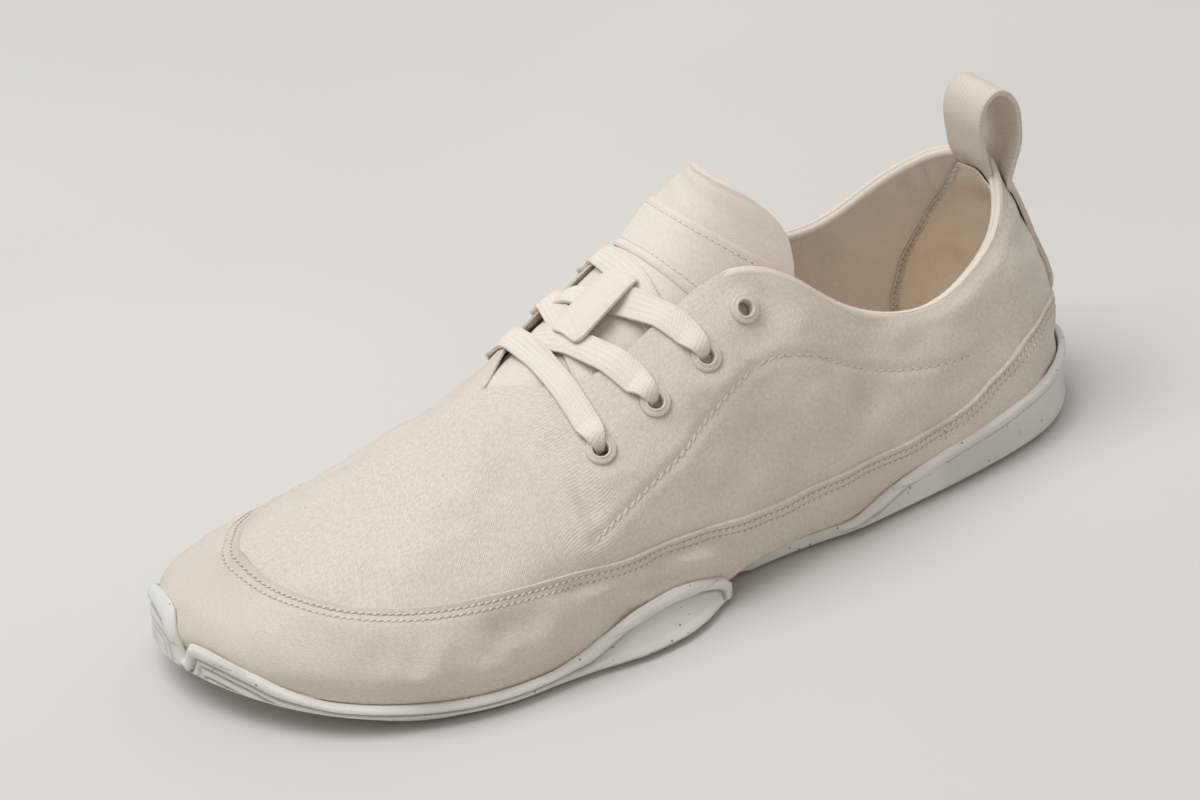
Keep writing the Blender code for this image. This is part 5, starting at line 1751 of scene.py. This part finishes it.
places = np.linspace(LOOP_HALF, -LOOP_HALF, LOOP_ACROSS + 1)
strap = [last_point(places, row.share) + last_normal(places, row.share) * row.lift for row in STRAP]
sides = strap[-1][:, 1]
for row in PULL_LOOP:
    strap.append(np.column_stack([np.full(len(sides), row.x), sides, np.full(len(sides), row.z)]))
for share in INNER_SHARES:
    strap.append(last_point(places, share) - last_normal(places, share) * (LINING_INSET + 0.1))
strap = np.array(strap)


def open_curve(rows, steps):
    """Smooth curve through rows of points, with each row's tangent from its neighbours."""
    rows = np.asarray(rows, float)
    tangents = np.gradient(rows, axis=0)
    fine = []
    for pair in zip(rows, rows[1:], tangents, tangents[1:]):
        fine += [cubic_between(*pair, share) for share in np.linspace(0, 1, steps, endpoint=False)]
    fine.append(rows[-1])
    return np.array(fine)


fine = open_curve(strap, 7)
loop, row, up = sheet_through("pull_loop_tape", fine)
lengths = run_along(fine[:, LOOP_ACROSS // 2])
cloth_map(loop, WEBBING_WIDTH * up, lengths[row])
# Painted shade along the webbing's two long edges.
shade_map(loop, 0.12 * np.abs(2 * up - 1) ** 8)
heel_out = np.zeros((len(row), 3))
heel_out[:, 0] = np.where(row < OUTER_ROWS, -1.0, 0.0)
thicken(loop, heel_out, WEBBING, 0.4)
dress(loop, webbing_finish, "webbing", "pull_loop")
widths = np.linalg.norm(np.diff(fine, axis=1), axis=2).sum(1)
print("webbing", round(float(lengths[-1]), 1), "by", np.round([widths.min(), widths.max()], 1), "mm")

# %% [markdown]
# ## Stitches
#
# One stitch is a stretched, slightly flattened bead of thread. It is modelled once and copied along
# each seam at an even pitch, lying in the cloth's own slope, with a small dark bead at its end as painted
# shade for the needle hole.

# %% One stitch
bpy.ops.object.select_all(action="DESELECT")
bpy.ops.mesh.primitive_uv_sphere_add(segments=6, ring_count=5, radius=1.0)
model_stitch = bpy.context.object
STITCH_POINTS = np.array([vertex.co for vertex in model_stitch.data.vertices])
STITCH_FACES = [list(face.vertices) for face in model_stitch.data.polygons]
bpy.data.objects.remove(model_stitch)


def walk(points, normals, pitch):
    """Even steps along a line of points: middles, directions and normals."""
    lengths = run_along(points)
    marks = np.arange(0.5 * pitch, lengths[-1], pitch)

    def at(places, values):
        return np.stack([np.interp(places, lengths, values[:, axis]) for axis in range(3)], -1)

    ahead = at(marks + 0.3, points) - at(marks - 0.3, points)
    return at(marks, points), unit(ahead), unit(at(marks, normals))


def beads(name, middles, directions, ups, sizes, finish):
    """Copies of the bead at each place, with half length, half width and half height in millimetres."""
    across = unit(np.cross(ups, directions))
    ups = np.cross(directions, across)
    points = []
    faces = []
    for number in range(len(middles)):
        turned = (directions[number] * STITCH_POINTS[:, :1] * sizes[0]
                  + across[number] * STITCH_POINTS[:, 1:2] * sizes[1]
                  + ups[number] * STITCH_POINTS[:, 2:3] * sizes[2])
        first = number * len(STITCH_POINTS)
        points.append(middles[number] + turned)
        faces += [[corner + first for corner in face] for face in STITCH_FACES]
    piece = built(name, np.concatenate(points), faces)
    turn_outward(piece)
    return dress(piece, finish, "canvas")


def seam(name, points, normals, pitch, length, width, lift, finish=thread_finish, slant=0.0, hole=0.29):
    middles, directions, ups = walk(points, normals, pitch)
    across = unit(np.cross(ups, directions))
    ends = middles + directions * 0.5 * pitch
    directions = unit(directions + across * slant)
    hole_size = (1.5 * hole, 0.75 * hole, 0.1)
    beads(name, middles + ups * lift, directions, ups, (0.5 * length, width, 0.6 * width), finish)
    # Painted shade: a small dark bead at each stitch's end stands for the shadowed needle hole.
    beads(name + "_holes", ends + ups * (lift - 0.1), directions, ups, hole_size, hole_shade_finish)


# %% Rows on the band
places = np.linspace(0, LOOP, 900)
heights = np.interp(places, ROUND, WALL_HEIGHTS)
for number, row in enumerate(STITCH_ROWS):
    shares = band_top(places) - row / heights
    spots, ups = on_last(places, shares)
    lift = (BAND_STEP - 0.2 + relief(spots) * (0.25 + 0.75 * above_rubber(spots)))[:, None]
    seam(f"band_seam_{number + 1}", spots + ups * lift, ups, 1.9, 1.5, 0.28, 0.06, slant=0.5)

shares = np.linspace(0.255, 0.15, 20)
places = np.full(20, 4.12)
spots, ups = on_last(places, shares)
lift = (BAND_STEP + 0.1 + relief(spots))[:, None]
seam("band_join", spots + ups * lift, ups, 1.9, 1.4, 0.28, 0.0, slant=0.4)

# %% Line behind the eyelets
for name, table, pitch, length, width, slant in (("facing_seam", FACING_LINE, 2.75, 2.7, 0.5, 0.35),
                                                 ("quarter_seam", QUARTER_LINE, 2.9, 2.1, 0.3, 0.2)):
    fine = open_curve(table, 24)
    for word, side in SIDES:
        around = place_of(fine[:, 0], side)
        spots, ups = on_last(around, fine[:, 1])
        spots = spots + ups * relief(spots)[:, None]
        seam(f"{name}_{word}", spots, ups, pitch, length, width, 0.12, pale_thread_finish, slant * side, 0.26)

# %% Rows on the strip and the counter
for number, share in enumerate(PATCH_ROWS):
    along = np.full(60, PATCH_FROM + (PATCH_TO - PATCH_FROM) * share)
    sides = np.linspace(-0.9, 0.9, 60)
    spots = tongue_point(along, sides, np.full(60, 0.5))
    ups = unit(tongue_point(along, sides, np.full(60, 1.5)) - spots)
    seam(f"strip_seam_{number + 1}", spots, ups, 2.0, 1.4, 0.27, 0.02)

levels = np.linspace(0.06, 0.93, 60)
for word, side in SIDES:
    zigzag = np.where(np.arange(60) % 2 == 0, 0.02, 0.14)
    around = side * (COUNTER_EDGE(levels) - zigzag)
    spots = last_point(around, levels)
    ups = -last_normal(around, levels)
    spots = spots + ups * (LINING_INSET + 1.2 - relief(spots))[:, None]
    middles = 0.5 * (spots[1:] + spots[:-1])
    directions = unit(spots[1:] - spots[:-1])
    beads(f"zigzag_{word}", middles, directions, ups[1:], (1.0, 0.3, 0.3), pale_thread_finish)
    ticks = slice(0, 58, 2)
    # Painted shade: small dark beads stand for the needle holes of the zigzag.
    beads(f"zigzag_holes_{word}", spots[ticks], directions[ticks], ups[ticks], (0.5, 0.2, 0.25), hole_shade_finish)

# %% Size of the dressed shoe
low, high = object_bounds()
print("dressed shoe", [round(value, 4) for value in high - low])
